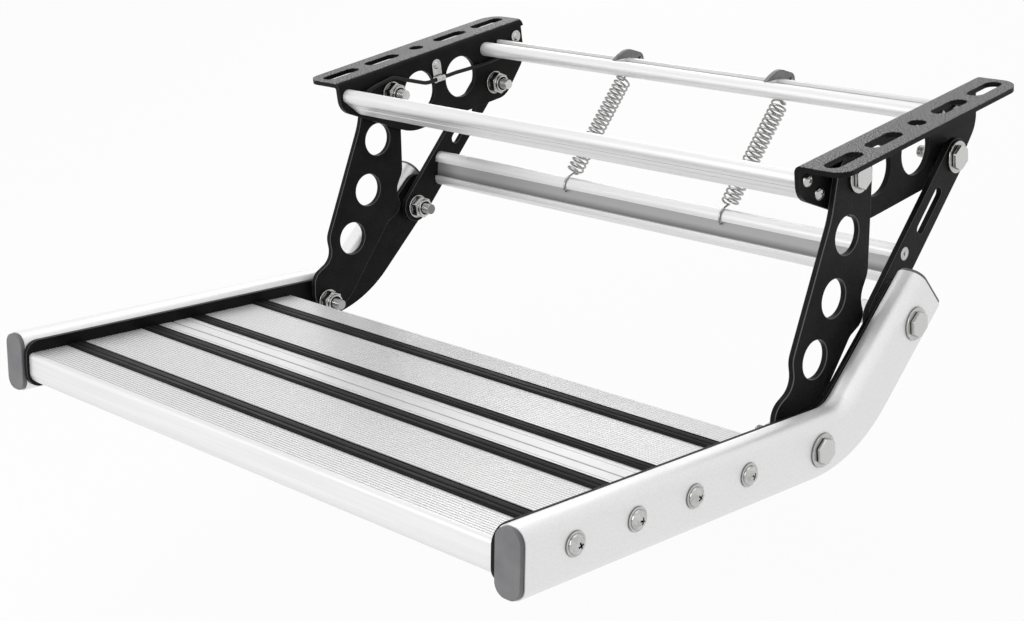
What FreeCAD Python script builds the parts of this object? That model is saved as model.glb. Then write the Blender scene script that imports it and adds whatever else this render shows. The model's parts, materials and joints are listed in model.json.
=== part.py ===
import FreeCAD, Part
import math
import os
import Sketcher
from FreeCAD import Placement, Rotation, Vector

# Folding entry step for a caravan, carried under the floor by two folded brackets.
# A four-bar linkage (front arms, rear arms, step frame) swings the tread out and down.
# Frame: +X right, +Y under the vehicle, +Z up; origin midway between the two centre
# mounting holes, on the top face of the bracket flanges. Millimetres and degrees.

document = FreeCAD.newDocument("entry_step")
sheet = document.addObject("Spreadsheet::Sheet", "Sizes")
parts = {}


class Measure:
    """A size: its value, and the formula over the sheet's cells that binds it."""

    def __init__(self, value, formula):
        self.value = value
        self.formula = formula

    def __add__(self, other):
        other = measure(other)
        return Measure(self.value + other.value, f"({self.formula} + {other.formula})")

    def __sub__(self, other):
        other = measure(other)
        return Measure(self.value - other.value, f"({self.formula} - {other.formula})")

    def __mul__(self, other):
        other = measure(other)
        return Measure(self.value * other.value, f"({self.formula} * {other.formula})")

    def __truediv__(self, other):
        other = measure(other)
        return Measure(self.value / other.value, f"({self.formula} / {other.formula})")

    def __neg__(self):
        return Measure(-self.value, f"(0 - {self.formula})")

    def __radd__(self, other):
        return measure(other) + self

    def __rsub__(self, other):
        return measure(other) - self

    def __rmul__(self, other):
        return measure(other) * self


def measure(size):
    return size if isinstance(size, Measure) else Measure(float(size), repr(float(size)))


def cosine(angle):
    return Measure(math.cos(math.radians(angle.value)), f"cos({angle.formula})")


def sine(angle):
    return Measure(math.sin(math.radians(angle.value)), f"sin({angle.formula})")


def tangent(angle):
    return Measure(math.tan(math.radians(angle.value)), f"tan({angle.formula})")


def arcsine(ratio):
    return Measure(math.degrees(math.asin(ratio.value)), f"(asin({ratio.formula}) / 1 deg)")


def heading(across, up):
    """The angle of a direction, counted from +Y towards +Z."""
    angle = math.degrees(math.atan2(up.value, across.value))
    return Measure(angle, f"(atan2({up.formula}; {across.formula}) / 1 deg)")


def square_root(square):
    return Measure(math.sqrt(square.value), f"sqrt({square.formula})")


def size(name, value):
    """Write one driving size into the next row of the sheet."""
    size.row += 1
    sheet.set(f"A{size.row}", name)
    sheet.set(f"B{size.row}", str(value))
    sheet.setAlias(f"B{size.row}", name)
    return Measure(float(value), f"Sizes.{name}")


size.row = 0

# Brackets, folded from steel sheet
mount_span = size("mount_span", 450)
bracket_sheet = size("bracket_sheet", 3.5)
web_gap = size("web_gap", 409)
flange_edge = size("flange_edge", 240)
bracket_length = size("bracket_length", 196)
bend_radius = size("bend_radius", 5)
web_depth = size("web_depth", 56)
front_corner = size("front_corner", 10)
rear_corner = size("rear_corner", 14)
web_rear_step = size("web_rear_step", 2.5)
web_front_fall = size("web_front_fall", 21.1)
web_front_run = size("web_front_run", 64.1)
web_rear_fall = size("web_rear_fall", 31.1)
web_rear_run = size("web_rear_run", 24.9)
slot_width = size("slot_width", 11.5)
slot_length = size("slot_length", 32)
slot_margin = size("slot_margin", 20.7)
slot_spacing = size("slot_spacing", 41.3)
centre_bore = size("centre_bore", 11.5)
window_radius = size("window_radius", 16)
front_window_y = size("front_window_y", -20)
rear_window_y = size("rear_window_y", 24)
window_drop = size("window_drop", 27.5)

# Pivots of the linkage, in the side view (y, z)
front_pivot_y = size("front_pivot_y", -48.5)
front_pivot_z = size("front_pivot_z", -20.5)
rear_pivot_y = size("rear_pivot_y", 59)
rear_pivot_z = size("rear_pivot_z", -41.5)
tread_pivot_y = size("tread_pivot_y", -133.5)
tread_pivot_z = size("tread_pivot_z", -160.7)
link_pivot_y = size("link_pivot_y", -32.6)
link_pivot_z = size("link_pivot_z", -117.6)

# Pivot hardware
bolt_radius = size("bolt_radius", 5)
running_fit = size("running_fit", 0.06)
pivot_play = size("pivot_play", 0.2)
head_width = size("head_width", 14.5)
head_height = size("head_height", 3)
head_washer_radius = size("head_washer_radius", 10.5)
washer_thickness = size("washer_thickness", 1.6)
nut_width = size("nut_width", 15)
nut_height = size("nut_height", 6)
nut_collar = size("nut_collar", 2.6)
nut_washer_radius = size("nut_washer_radius", 9)
thread_end = size("thread_end", 2.5)
spacer_radius = size("spacer_radius", 8.5)
assembly_clearance = size("assembly_clearance", 0.1)

# Arms, cut from steel sheet
arm_sheet = size("arm_sheet", 4)
arm_gap = size("arm_gap", 3.1)
arm_top_radius = size("arm_top_radius", 17)
arm_lobe_radius = size("arm_lobe_radius", 17)
arm_window_radius = size("arm_window_radius", 12.3)
rear_arm_width = size("rear_arm_width", 24)
rear_arm_slot = size("rear_arm_slot", 8)
rear_slot_near = size("rear_slot_near", 28)
rear_slot_far = size("rear_slot_far", 55)

# Step frame: rails of rounded box tube with a flat plate inside each
tread_tilt = size("tread_tilt", 10)
rail_width = size("rail_width", 20)
rail_height = size("rail_height", 40)
rail_wall = size("rail_wall", 2)
rail_corner = size("rail_corner", 8.5)
rail_reach = size("rail_reach", 251.4)
rail_upturn = size("rail_upturn", 45)
rail_tail = size("rail_tail", 109)
rail_inner_bend = size("rail_inner_bend", 22)
rail_outer_bend = size("rail_outer_bend", 100)
plate_sheet = size("plate_sheet", 3)
plate_height = size("plate_height", 32)
plate_corner = size("plate_corner", 10)
plate_gap = size("plate_gap", 3.4)
plate_setback = size("plate_setback", 1.5)
cap_rim = size("cap_rim", 3)
cap_inset = size("cap_inset", 0.8)
cap_spigot = size("cap_spigot", 9)
tail_cap_rim = size("tail_cap_rim", 2.2)

# Tread planks and grip strips
tread_drop = size("tread_drop", 8)
plank_depth = size("plank_depth", 22)
plank_split = size("plank_split", 135)
plank_joint = size("plank_joint", 0.6)
tread_rear = size("tread_rear", 28.6)
plank_wall = size("plank_wall", 2.4)
nose_top_radius = size("nose_top_radius", 3)
nose_low_radius = size("nose_low_radius", 9)
rib_pitch = size("rib_pitch", 2.5)
rib_groove = size("rib_groove", 1.1)
rib_depth = size("rib_depth", 0.9)
strip_thickness = size("strip_thickness", 3)
strip_proud = size("strip_proud", 1.1)
strip_wide = size("strip_wide", 12.5)
strip_narrow = size("strip_narrow", 10)
strip_first = size("strip_first", 35.7)
strip_second = size("strip_second", 95.7)
strip_third = size("strip_third", 136.1)
strip_fourth = size("strip_fourth", 192.2)
strip_fit = size("strip_fit", 0.1)

# Tread screws
screw_radius = size("screw_radius", 3)
screw_first = size("screw_first", 36)
screw_pitch = size("screw_pitch", 48.1)
screw_lift = size("screw_lift", 3)
screw_head_radius = size("screw_head_radius", 5.6)
screw_head_height = size("screw_head_height", 3.4)
screw_washer_radius = size("screw_washer_radius", 7)
screw_washer_thickness = size("screw_washer_thickness", 1.2)
screw_grip = size("screw_grip", 22)

# Cross bars: one oval extrusion used three times
bar_radius = size("bar_radius", 5.25)
bar_port_spacing = size("bar_port_spacing", 16)
bar_port_radius = size("bar_port_radius", 2.4)
bar_channel_width = size("bar_channel_width", 11)
bar_channel_depth = size("bar_channel_depth", 2.6)
bar_groove_width = size("bar_groove_width", 1.2)
bar_groove_depth = size("bar_groove_depth", 0.7)
front_bar_inset = size("front_bar_inset", 13.25)
front_bar_z = size("front_bar_z", -17.25)
front_bar_angle = size("front_bar_angle", -46.5)
rear_bar_y = size("rear_bar_y", 61)
rear_bar_z = size("rear_bar_z", -13.8)
rear_bar_angle = size("rear_bar_angle", -6)
lower_bar_y = size("lower_bar_y", -3.5)
lower_bar_z = size("lower_bar_z", -95)
lower_bar_angle = size("lower_bar_angle", 79.4)
bar_screw_radius = size("bar_screw_radius", 2.35)
bar_screw_head = size("bar_screw_head", 4.3)
bar_screw_height = size("bar_screw_height", 2.6)
bar_screw_grip = size("bar_screw_grip", 16)

# Springs and the plates that hang them
spring_x = size("spring_x", 72)
spring_wire = size("spring_wire", 0.9)
spring_radius = size("spring_radius", 5.4)
spring_turns = size("spring_turns", 7)
spring_neck = size("spring_neck", 19.5)
spring_shank = size("spring_shank", 15)
spring_aim = size("spring_aim", 2.4)
spring_tip = size("spring_tip", 2.6)
hanger_sheet = size("hanger_sheet", 3)
hanger_play = size("hanger_play", 0.3)
hanger_y = size("hanger_y", 81.4)
hanger_z = size("hanger_z", -12.9)

# Cable along the left web
cable_radius = size("cable_radius", 1.5)
clip_sheet = size("clip_sheet", 1)
clip_width = size("clip_width", 9)
clip_y = size("clip_y", -0.5)
clip_rivet_z = size("clip_rivet_z", -11.5)
clip_cable_z = size("clip_cable_z", -22)
lug_inset = size("lug_inset", 10)
lug_z = size("lug_z", -11.5)
rivet_radius = size("rivet_radius", 3.2)

document.recompute()

# Places counted from the ends of the brackets
far_slot = bracket_length / 2 - slot_margin
near_slot = far_slot - slot_spacing
front_bar_y = front_bar_inset - bracket_length / 2
lug_y = bracket_length / 2 - lug_inset

# Planes of the layers, from the web outwards
web_inner = web_gap / 2
web_outer = web_inner + bracket_sheet
arm_inner = web_outer + arm_gap
arm_outer = arm_inner + arm_sheet
plate_inner = arm_outer + plate_gap
plate_outer = plate_inner + plate_sheet
rail_outer = plate_outer + rail_width

# The step's own frame is the row frame turned by the tilt of the tread
tilt_cosine = cosine(tread_tilt)
tilt_sine = sine(tread_tilt)


def in_step_frame(y, z):
    return (y * tilt_cosine - z * tilt_sine, y * tilt_sine + z * tilt_cosine)


tread_pivot_run, rail_axis = in_step_frame(tread_pivot_y, tread_pivot_z)
link_pivot_run, link_pivot_rise = in_step_frame(link_pivot_y, link_pivot_z)
upturn_start = link_pivot_run - (link_pivot_rise - rail_axis) / tangent(rail_upturn)
rail_front = tread_pivot_run - rail_reach
tread_top = rail_axis + rail_height / 2 - tread_drop - (rail_height - plate_height) / 2


def origin_plane(body, role):
    return next(plane for plane in body.Origin.OriginFeatures if plane.Role == role)


def new_body(name, y=0, z=0, angle=0):
    """A body whose frame stands at (0, y, z), turned about X by the angle."""
    body = document.addObject("PartDesign::Body", name)
    y, z, angle = measure(y), measure(z), measure(angle)
    body.Placement = Placement(Vector(0, y.value, z.value), Rotation(Vector(1, 0, 0), angle.value or 1))
    body.setExpression("Placement.Base.y", y.formula)
    body.setExpression("Placement.Base.z", z.formula)
    body.setExpression("Placement.Rotation.Angle", f"{angle.formula} * 1 deg")
    return body


def new_sketch(body, plane, offset=0):
    sketch = body.newObject("Sketcher::SketchObject", body.Name + "_sketch")
    sketch.AttachmentSupport = [(origin_plane(body, plane), "")]
    sketch.MapMode = "FlatFace"
    sketch.setExpression("AttachmentOffset.Base.z", measure(offset).formula)
    return sketch


def bind(sketch, kind, *targets, to):
    index = sketch.addConstraint(Sketcher.Constraint(kind, *targets, to.value))
    sketch.setExpression(f"Constraints[{index}]", to.formula)


def pin(sketch, geometry, position, across, up):
    bind(sketch, "DistanceX", -1, 1, geometry, position, to=measure(across))
    bind(sketch, "DistanceY", -1, 1, geometry, position, to=measure(up))


def circle(sketch, across, up, radius):
    across, up, radius = measure(across), measure(up), measure(radius)
    ring = Part.Circle(Vector(across.value, up.value, 0), Vector(0, 0, 1), radius.value)
    index = sketch.addGeometry(ring, False)
    bind(sketch, "Radius", index, to=radius)
    pin(sketch, index, 3, across, up)


def corner_arc(previous, corner, following, radius):
    """The tangent points and the centre of the arc that rounds a corner."""
    to_previous = (previous - corner).normalize()
    to_following = (following - corner).normalize()
    half_angle = to_previous.getAngle(to_following) / 2
    reach = radius / math.tan(half_angle)
    bisector = (to_previous + to_following).normalize()
    centre = corner + bisector * (radius / math.sin(half_angle))
    return corner + to_previous * reach, corner + to_following * reach, centre


def outline(sketch, corners, closed=True):
    """Lines through (across, up) corners; a third value rounds a corner."""
    corners = [[measure(value) for value in corner] for corner in corners]
    points = [Vector(corner[0].value, corner[1].value, 0) for corner in corners]
    count = len(corners)
    starts, ends, arcs = [], [], {}
    for index, corner in enumerate(corners):
        if len(corner) == 2:
            starts.append(points[index])
            ends.append(points[index])
            continue
        before, after = points[index - 1], points[(index + 1) % count]
        enter, leave, centre = corner_arc(before, points[index], after, corner[2].value)
        ends.append(enter)
        starts.append(leave)
        arcs[index] = (enter, leave, centre)
    lines = []
    for index in range(count if closed else count - 1):
        segment = Part.LineSegment(starts[index], ends[(index + 1) % count])
        lines.append(sketch.addGeometry(segment, False))
    if not closed:
        pin(sketch, lines[0], 1, corners[0][0], corners[0][1])
        pin(sketch, lines[-1], 2, corners[-1][0], corners[-1][1])
    for index in range(0 if closed else 1, count if closed else count - 1):
        corner = corners[index]
        incoming, outgoing = lines[index - 1], lines[index]
        if index not in arcs:
            sketch.addConstraint(Sketcher.Constraint("Coincident", incoming, 2, outgoing, 1))
            pin(sketch, outgoing, 1, corner[0], corner[1])
            continue
        enter, leave, centre = arcs[index]
        ring = Part.Circle(centre, Vector(0, 0, 1), corner[2].value)
        turns_left = (enter - centre).cross(leave - centre).z > 0
        first, last = (enter, leave) if turns_left else (leave, enter)
        first_angle = math.atan2(first.y - centre.y, first.x - centre.x)
        last_angle = math.atan2(last.y - centre.y, last.x - centre.x)
        if last_angle < first_angle:
            last_angle += 2 * math.pi
        arc = sketch.addGeometry(Part.ArcOfCircle(ring, first_angle, last_angle), False)
        enter_end, leave_end = (1, 2) if turns_left else (2, 1)
        sketch.addConstraint(Sketcher.Constraint("Tangent", incoming, 2, arc, enter_end))
        sketch.addConstraint(Sketcher.Constraint("Tangent", arc, leave_end, outgoing, 1))
        bind(sketch, "Radius", arc, to=corner[2])
        sharp = sketch.addGeometry(Part.Point(points[index]), True)
        sketch.addConstraint(Sketcher.Constraint("PointOnObject", sharp, 1, incoming))
        sketch.addConstraint(Sketcher.Constraint("PointOnObject", sharp, 1, outgoing))
        pin(sketch, sharp, 1, corner[0], corner[1])


def stadium(sketch, first, second, radius):
    """A round-ended slot between two (across, up) centres."""
    first = [measure(value) for value in first]
    second = [measure(value) for value in second]
    start = Vector(first[0].value, first[1].value, 0)
    finish = Vector(second[0].value, second[1].value, 0)
    along = (finish - start).normalize()
    side = Vector(-along.y, along.x, 0) * radius.value
    heading = math.atan2(along.y, along.x)
    upper = sketch.addGeometry(Part.LineSegment(start + side, finish + side), False)
    lower = sketch.addGeometry(Part.LineSegment(start - side, finish - side), False)
    rear_ring = Part.Circle(start, Vector(0, 0, 1), radius.value)
    front_ring = Part.Circle(finish, Vector(0, 0, 1), radius.value)
    quarter = math.pi / 2
    rear_arc = Part.ArcOfCircle(rear_ring, heading + quarter, heading + 3 * quarter)
    front_arc = Part.ArcOfCircle(front_ring, heading - quarter, heading + quarter)
    rear = sketch.addGeometry(rear_arc, False)
    front = sketch.addGeometry(front_arc, False)
    sketch.addConstraint(Sketcher.Constraint("Tangent", rear, 1, upper, 1))
    sketch.addConstraint(Sketcher.Constraint("Tangent", rear, 2, lower, 1))
    sketch.addConstraint(Sketcher.Constraint("Tangent", front, 1, lower, 2))
    sketch.addConstraint(Sketcher.Constraint("Tangent", front, 2, upper, 2))
    sketch.addConstraint(Sketcher.Constraint("Equal", rear, front))
    bind(sketch, "Radius", rear, to=radius)
    pin(sketch, rear, 3, *first)
    pin(sketch, front, 3, *second)


def pad(body, sketch, length, backwards=False):
    feature = body.newObject("PartDesign::Pad", body.Name + "_pad")
    feature.Profile = sketch
    feature.setExpression("Length", measure(length).formula)
    feature.Reversed = backwards
    body.Tip = feature
    return feature


def pocket(body, sketch, length, backwards=False):
    """A cut that runs from its sketch against the plane's normal, or along it."""
    feature = body.newObject("PartDesign::Pocket", body.Name + "_pocket")
    feature.Profile = sketch
    feature.setExpression("Length", measure(length).formula)
    feature.Reversed = backwards
    body.Tip = feature
    return feature


def round_edges(body, radius, *points):
    """Fillet the edges of the body's tip that pass through the given points."""
    document.recompute()
    base = body.Tip
    names = []
    for point in points:
        probe = Part.Vertex(Vector(*[measure(value).value for value in point]))
        for index, edge in enumerate(base.Shape.Edges, 1):
            if edge.distToShape(probe)[0] < 0.02:
                names.append(f"Edge{index}")
    fillet = body.newObject("PartDesign::Fillet", body.Name + "_fillet")
    fillet.Base = (base, names)
    fillet.setExpression("Radius", measure(radius).formula)
    body.Tip = fillet
    return fillet


def mirrored(name, source):
    """The left-hand copy of a right-hand piece."""
    copy = document.addObject("Part::Mirroring", name)
    copy.Source = source
    copy.Normal = Vector(1, 0, 0)
    return copy


def group(name, members):
    compound = document.addObject("Part::Compound", name)
    compound.Links = members
    return compound


def cut(name, base, tool):
    result = document.addObject("Part::Cut", name)
    result.Base = base
    result.Tool = tool
    return result


def keep(label, piece):
    """Name a finished piece, so that it is written out."""
    piece.Label = label
    parts[label] = piece
    return piece


def pair(name, piece):
    """Keep a right-hand piece and its mirror image as two pieces."""
    keep("right_" + name, piece)
    keep("left_" + name, mirrored("left_" + name, piece))


def both_sides(label, pieces):
    """Keep small right-hand pieces and their mirror images as one group."""
    copies = [mirrored(piece.Name + "_left", piece) for piece in pieces]
    keep(label, group(label, list(pieces) + copies))


def turned(name, profile, y, z, angle=0):
    """A round piece about a line along X, from its (x, radius) profile."""
    body = new_body(name, y, z, angle)
    sketch = new_sketch(body, "XY_Plane")
    outline(sketch, profile)
    feature = body.newObject("PartDesign::Revolution", name + "_turning")
    feature.Profile = sketch
    feature.ReferenceAxis = (sketch, ["H_Axis"])
    feature.Angle = 360
    body.Tip = feature
    return body


def ring(name, first, last, outer, bore, y, z):
    """A washer or spacer between two x planes."""
    body = new_body(name, y, z)
    sketch = new_sketch(body, "YZ_Plane", first)
    circle(sketch, 0, 0, outer)
    circle(sketch, 0, 0, bore)
    pad(body, sketch, last - first)
    return body


def hexagon(sketch, width):
    """Six corners with flats across the given width, one corner pointing up."""
    reach = width / math.sqrt(3)
    corners = []
    for index in range(6):
        heading = math.radians(30 + 60 * index)
        corners.append((reach * math.cos(heading), reach * math.sin(heading)))
    outline(sketch, corners)


# Brackets: each folded sheet is where its end, side and plan outlines meet
def bracket_sheet_form():
    half = bracket_length / 2
    end = new_body("bracket_end")
    sketch = new_sketch(end, "XZ_Plane", half)
    outline(sketch, [
        (flange_edge, 0),
        (flange_edge, -bracket_sheet),
        (web_outer, -bracket_sheet, bend_radius - bracket_sheet),
        (web_outer, -web_depth),
        (web_inner, -web_depth),
        (web_inner, 0, bend_radius),
    ])
    pad(end, sketch, bracket_length, backwards=True)

    side = new_body("bracket_side")
    sketch = new_sketch(side, "YZ_Plane", web_inner)
    rear_edge = half - web_rear_step
    outline(sketch, [
        (-half, 0),
        (-half, -web_front_fall, 13.5),
        (web_front_run - half, -web_depth, 40),
        (rear_edge - web_rear_run, -web_depth, 18),
        (rear_edge, -web_rear_fall, 19),
        (rear_edge, -bend_radius),
        (half, -bend_radius),
        (half, 0),
    ])
    circle(sketch, front_window_y, -window_drop, window_radius)
    circle(sketch, rear_window_y, -window_drop, window_radius)
    circle(sketch, front_pivot_y, front_pivot_z, bolt_radius + assembly_clearance)
    circle(sketch, rear_pivot_y, rear_pivot_z, bolt_radius + assembly_clearance)
    for y, z in bar_ports("front") + bar_ports("rear"):
        circle(sketch, y, z, bar_screw_radius + assembly_clearance)
    pad(side, sketch, flange_edge - web_inner)

    plan = new_body("bracket_plan")
    sketch = new_sketch(plan, "XY_Plane", -web_depth)
    outline(sketch, [
        (web_inner, -half),
        (flange_edge, -half, front_corner),
        (flange_edge, half, rear_corner),
        (web_inner, half),
    ])
    mount_x = mount_span / 2
    circle(sketch, mount_x, 0, centre_bore / 2)
    for middle in (-far_slot, -near_slot, near_slot, far_slot):
        reach = (slot_length - slot_width) / 2
        stadium(sketch, (mount_x, middle - reach), (mount_x, middle + reach), slot_width / 2)
    pad(plan, sketch, web_depth)

    form = document.addObject("Part::MultiCommon", "bracket_form")
    form.Shapes = [end, side, plan]
    return form


BARS = {
    "front": (front_bar_y, front_bar_z, front_bar_angle),
    "rear": (rear_bar_y, rear_bar_z, rear_bar_angle),
    "lower": (lower_bar_y, lower_bar_z, lower_bar_angle),
}


def bar_ports(which):
    """The two screw ports of a cross bar in the side view."""
    y, z, angle = BARS[which]
    across = bar_port_spacing / 2 * cosine(angle)
    up = bar_port_spacing / 2 * sine(angle)
    return [(y - across, z - up), (y + across, z + up)]


def cross_bar(which, half_length, channel_side):
    """Oval extrusion with two screw ports, a shallow channel and a shadow groove."""
    y, z, angle = BARS[which]
    half = bar_port_spacing / 2
    body = new_body(which + "_bar_form", y, z, angle)
    sketch = new_sketch(body, "YZ_Plane", -half_length)
    stadium(sketch, (-half, 0), (half, 0), bar_radius)
    circle(sketch, -half, 0, bar_port_radius)
    circle(sketch, half, 0, bar_port_radius)
    pad(body, sketch, half_length * 2)
    channel = new_sketch(body, "YZ_Plane", half_length)
    floor = (bar_radius - bar_channel_depth) * channel_side
    lip = (bar_radius + 1) * channel_side
    outline(channel, [
        (-bar_channel_width / 2, floor),
        (bar_channel_width / 2, floor),
        (bar_channel_width / 2, lip),
        (-bar_channel_width / 2, lip),
    ])
    pocket(body, channel, half_length * 2)
    groove = new_sketch(body, "YZ_Plane", half_length)
    outline(groove, [
        (0, (bar_groove_depth - bar_radius) * channel_side),
        (bar_groove_width / 2, -bar_radius * channel_side),
        (bar_groove_width / 2, -lip),
        (-bar_groove_width / 2, -lip),
        (-bar_groove_width / 2, -bar_radius * channel_side),
    ])
    pocket(body, groove, half_length * 2)
    return keep(which + "_cross_bar", body)


def pan_screws(label, which):
    """Pan-head screws through the webs into the ports of a cross bar."""
    screws = []
    for index, (y, z) in enumerate(bar_ports(which)):
        screws.append(turned(f"{which}_bar_screw_{index}", [
            (web_inner - bar_screw_grip, 0),
            (web_inner - bar_screw_grip, bar_screw_radius),
            (web_outer, bar_screw_radius),
            (web_outer, bar_screw_head),
            (web_outer + bar_screw_height, bar_screw_head * 0.6),
            (web_outer + bar_screw_height, 0),
        ], y, z))
    both_sides(label, screws)


bracket_form = bracket_sheet_form()
keep("right_bracket", bracket_form)
rivet_bores = []
for rivet_y, rivet_z in ((clip_y, clip_rivet_z), (lug_y, lug_z)):
    bore = new_body("rivet_bore", rivet_y, rivet_z)
    sketch = new_sketch(bore, "YZ_Plane", -web_outer - 1)
    circle(sketch, 0, 0, rivet_radius / 2 + assembly_clearance)
    pad(bore, sketch, bracket_sheet + 2)
    rivet_bores.append(bore)
left_form = mirrored("left_bracket_form", bracket_form)
keep("left_bracket", cut("left_bracket", left_form, group("rivet_bores", rivet_bores)))

cross_bar("front", web_inner, 1)
cross_bar("rear", web_inner, 1)
cross_bar("lower", arm_inner, 1)
pan_screws("front_bar_screws", "front")
pan_screws("rear_bar_screws", "rear")


# Front arms: broad pressed levers from the front pivot to the tread pivot
def front_arm():
    body = new_body("front_arm_form")
    sketch = new_sketch(body, "YZ_Plane", arm_inner)
    ay, az = front_pivot_y, front_pivot_z
    by, bz = tread_pivot_y, tread_pivot_z
    # The outline is drawn for pivots 163.955 apart, and follows their distance
    unit = square_root((ay - by) * (ay - by) + (az - bz) * (az - bz)) / 163.955
    outline(sketch, [
        (ay - unit * 17.5, az + unit * 17, arm_top_radius),
        (ay - unit * 29, az - unit * 18.5, unit * 60),
        (by + unit * 11, bz + unit * 46.5, unit * 14),
        (by + unit * 12, bz + unit * 29.5, unit * 12),
        (by - unit * 8, bz + unit * 22.5, unit * 12),
        (by - unit * 15, bz - unit * 18.5, arm_lobe_radius),
        (by + unit * 22.5, bz - unit * 5.5, unit * 25),
        (by + unit * 70, bz + unit * 40.5, unit * 8),
        (by + unit * 87, bz + unit * 46, unit * 9),
        (by + unit * 81.5, bz + unit * 62, unit * 14),
        (by + unit * 91, bz + unit * 75, unit * 14),
        (ay + unit * 10.5, az - unit * 31, unit * 60),
        (ay + unit * 17, az + unit * 17, arm_top_radius),
    ])
    circle(sketch, ay, az, bolt_radius + running_fit)
    circle(sketch, by, bz, bolt_radius + running_fit)
    for across, down in ((14, 33.5), (30.2, 69), (52, 101)):
        circle(sketch, ay - unit * across, az - unit * down, arm_window_radius)
    pad(body, sketch, arm_sheet)
    return body


# Rear arms: straight flat links with a slot, carrying the lower cross bar
def rear_arm():
    length = Measure(
        math.hypot(rear_pivot_y.value - link_pivot_y.value, rear_pivot_z.value - link_pivot_z.value),
        f"sqrt(({(rear_pivot_y - link_pivot_y).formula})^2 + ({(rear_pivot_z - link_pivot_z).formula})^2)",
    )
    along_y = (link_pivot_y - rear_pivot_y) / length
    along_z = (link_pivot_z - rear_pivot_z) / length
    body = new_body("rear_arm_blank")
    sketch = new_sketch(body, "YZ_Plane", arm_inner)
    stadium(sketch, (rear_pivot_y, rear_pivot_z), (link_pivot_y, link_pivot_z), rear_arm_width / 2)
    circle(sketch, rear_pivot_y, rear_pivot_z, bolt_radius + running_fit)
    circle(sketch, link_pivot_y, link_pivot_z, bolt_radius + assembly_clearance)
    ends = []
    for reach in (rear_slot_near, rear_slot_far):
        ends.append((rear_pivot_y + along_y * reach, rear_pivot_z + along_z * reach))
    stadium(sketch, ends[0], ends[1], rear_arm_slot / 2)
    pad(body, sketch, arm_sheet)
    seats = []
    for index, (y, z) in enumerate(bar_ports("lower")):
        seats.append(turned(f"screw_seat_{index}", countersunk_profile(assembly_clearance), y, z))
    return cut("rear_arm_form", body, group("screw_seats", seats))


def countersunk_profile(clearance):
    """A countersunk screw through the arm; a clearance makes it the tool for its seat."""
    return [
        (arm_inner - bar_screw_grip, 0),
        (arm_inner - bar_screw_grip, bar_screw_radius + clearance),
        (arm_outer - bar_screw_height, bar_screw_radius + clearance),
        (arm_outer, bar_screw_head + clearance),
        (arm_outer, 0),
    ]


pair("front_arm", front_arm())
pair("rear_arm", rear_arm())
lower_screws = []
for index, (y, z) in enumerate(bar_ports("lower")):
    lower_screws.append(turned(f"lower_bar_screw_{index}", countersunk_profile(0), y, z))
both_sides("lower_bar_screws", lower_screws)


# Step rails: rounded box tube, bent upwards behind the tread
def rail_outline(sketch, half_height, front, tail, inner_bend, outer_bend, ends=()):
    """Side outline about the rail's centre line; ends rounds the four end corners."""
    half_turn = tangent(rail_upturn / 2)
    lean_cosine, lean_sine = cosine(rail_upturn), sine(rail_upturn)
    tail_run = upturn_start + tail * lean_cosine
    tail_rise = rail_axis + tail * lean_sine
    outline(sketch, [
        (front, rail_axis - half_height, *ends),
        (upturn_start + half_height * half_turn, rail_axis - half_height, outer_bend),
        (tail_run + half_height * lean_sine, tail_rise - half_height * lean_cosine, *ends),
        (tail_run - half_height * lean_sine, tail_rise + half_height * lean_cosine, *ends),
        (upturn_start - half_height * half_turn, rail_axis + half_height, inner_bend),
        (front, rail_axis + half_height, *ends),
    ])


def screw_runs():
    return [rail_front + screw_first + screw_pitch * index for index in range(4)]


def rail_holes(sketch):
    circle(sketch, tread_pivot_run, rail_axis, bolt_radius + assembly_clearance)
    circle(sketch, link_pivot_run, link_pivot_rise, bolt_radius + assembly_clearance)
    for run in screw_runs():
        circle(sketch, run, rail_axis + screw_lift, screw_radius + assembly_clearance)


def rail_solid(name, inset, overrun, holes):
    """The rail's outside, or with an inset the hollow inside it."""
    body = new_body(name, angle=-tread_tilt)
    first = plate_outer + inset
    half = rail_height / 2 - inset
    sketch = new_sketch(body, "YZ_Plane", first)
    rail_outline(sketch, half, rail_front - overrun, rail_tail + overrun,
                 rail_inner_bend + inset, rail_outer_bend - inset)
    if holes:
        rail_holes(sketch)
    pad(body, sketch, rail_width - inset * 2)
    middle = (rail_front + upturn_start) / 2
    last = first + rail_width - inset * 2
    round_edges(body, rail_corner - inset,
                (first, middle, rail_axis + half), (last, middle, rail_axis + half),
                (first, middle, rail_axis - half), (last, middle, rail_axis - half))
    return body


def rail_plate():
    body = new_body("rail_plate_form", angle=-tread_tilt)
    sketch = new_sketch(body, "YZ_Plane", plate_inner)
    rail_outline(sketch, plate_height / 2, rail_front - plate_setback, rail_tail - plate_setback,
                 rail_inner_bend + 4, rail_outer_bend - 4, ends=(plate_corner,))
    rail_holes(sketch)
    pad(body, sketch, plate_sheet)
    return body


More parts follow.
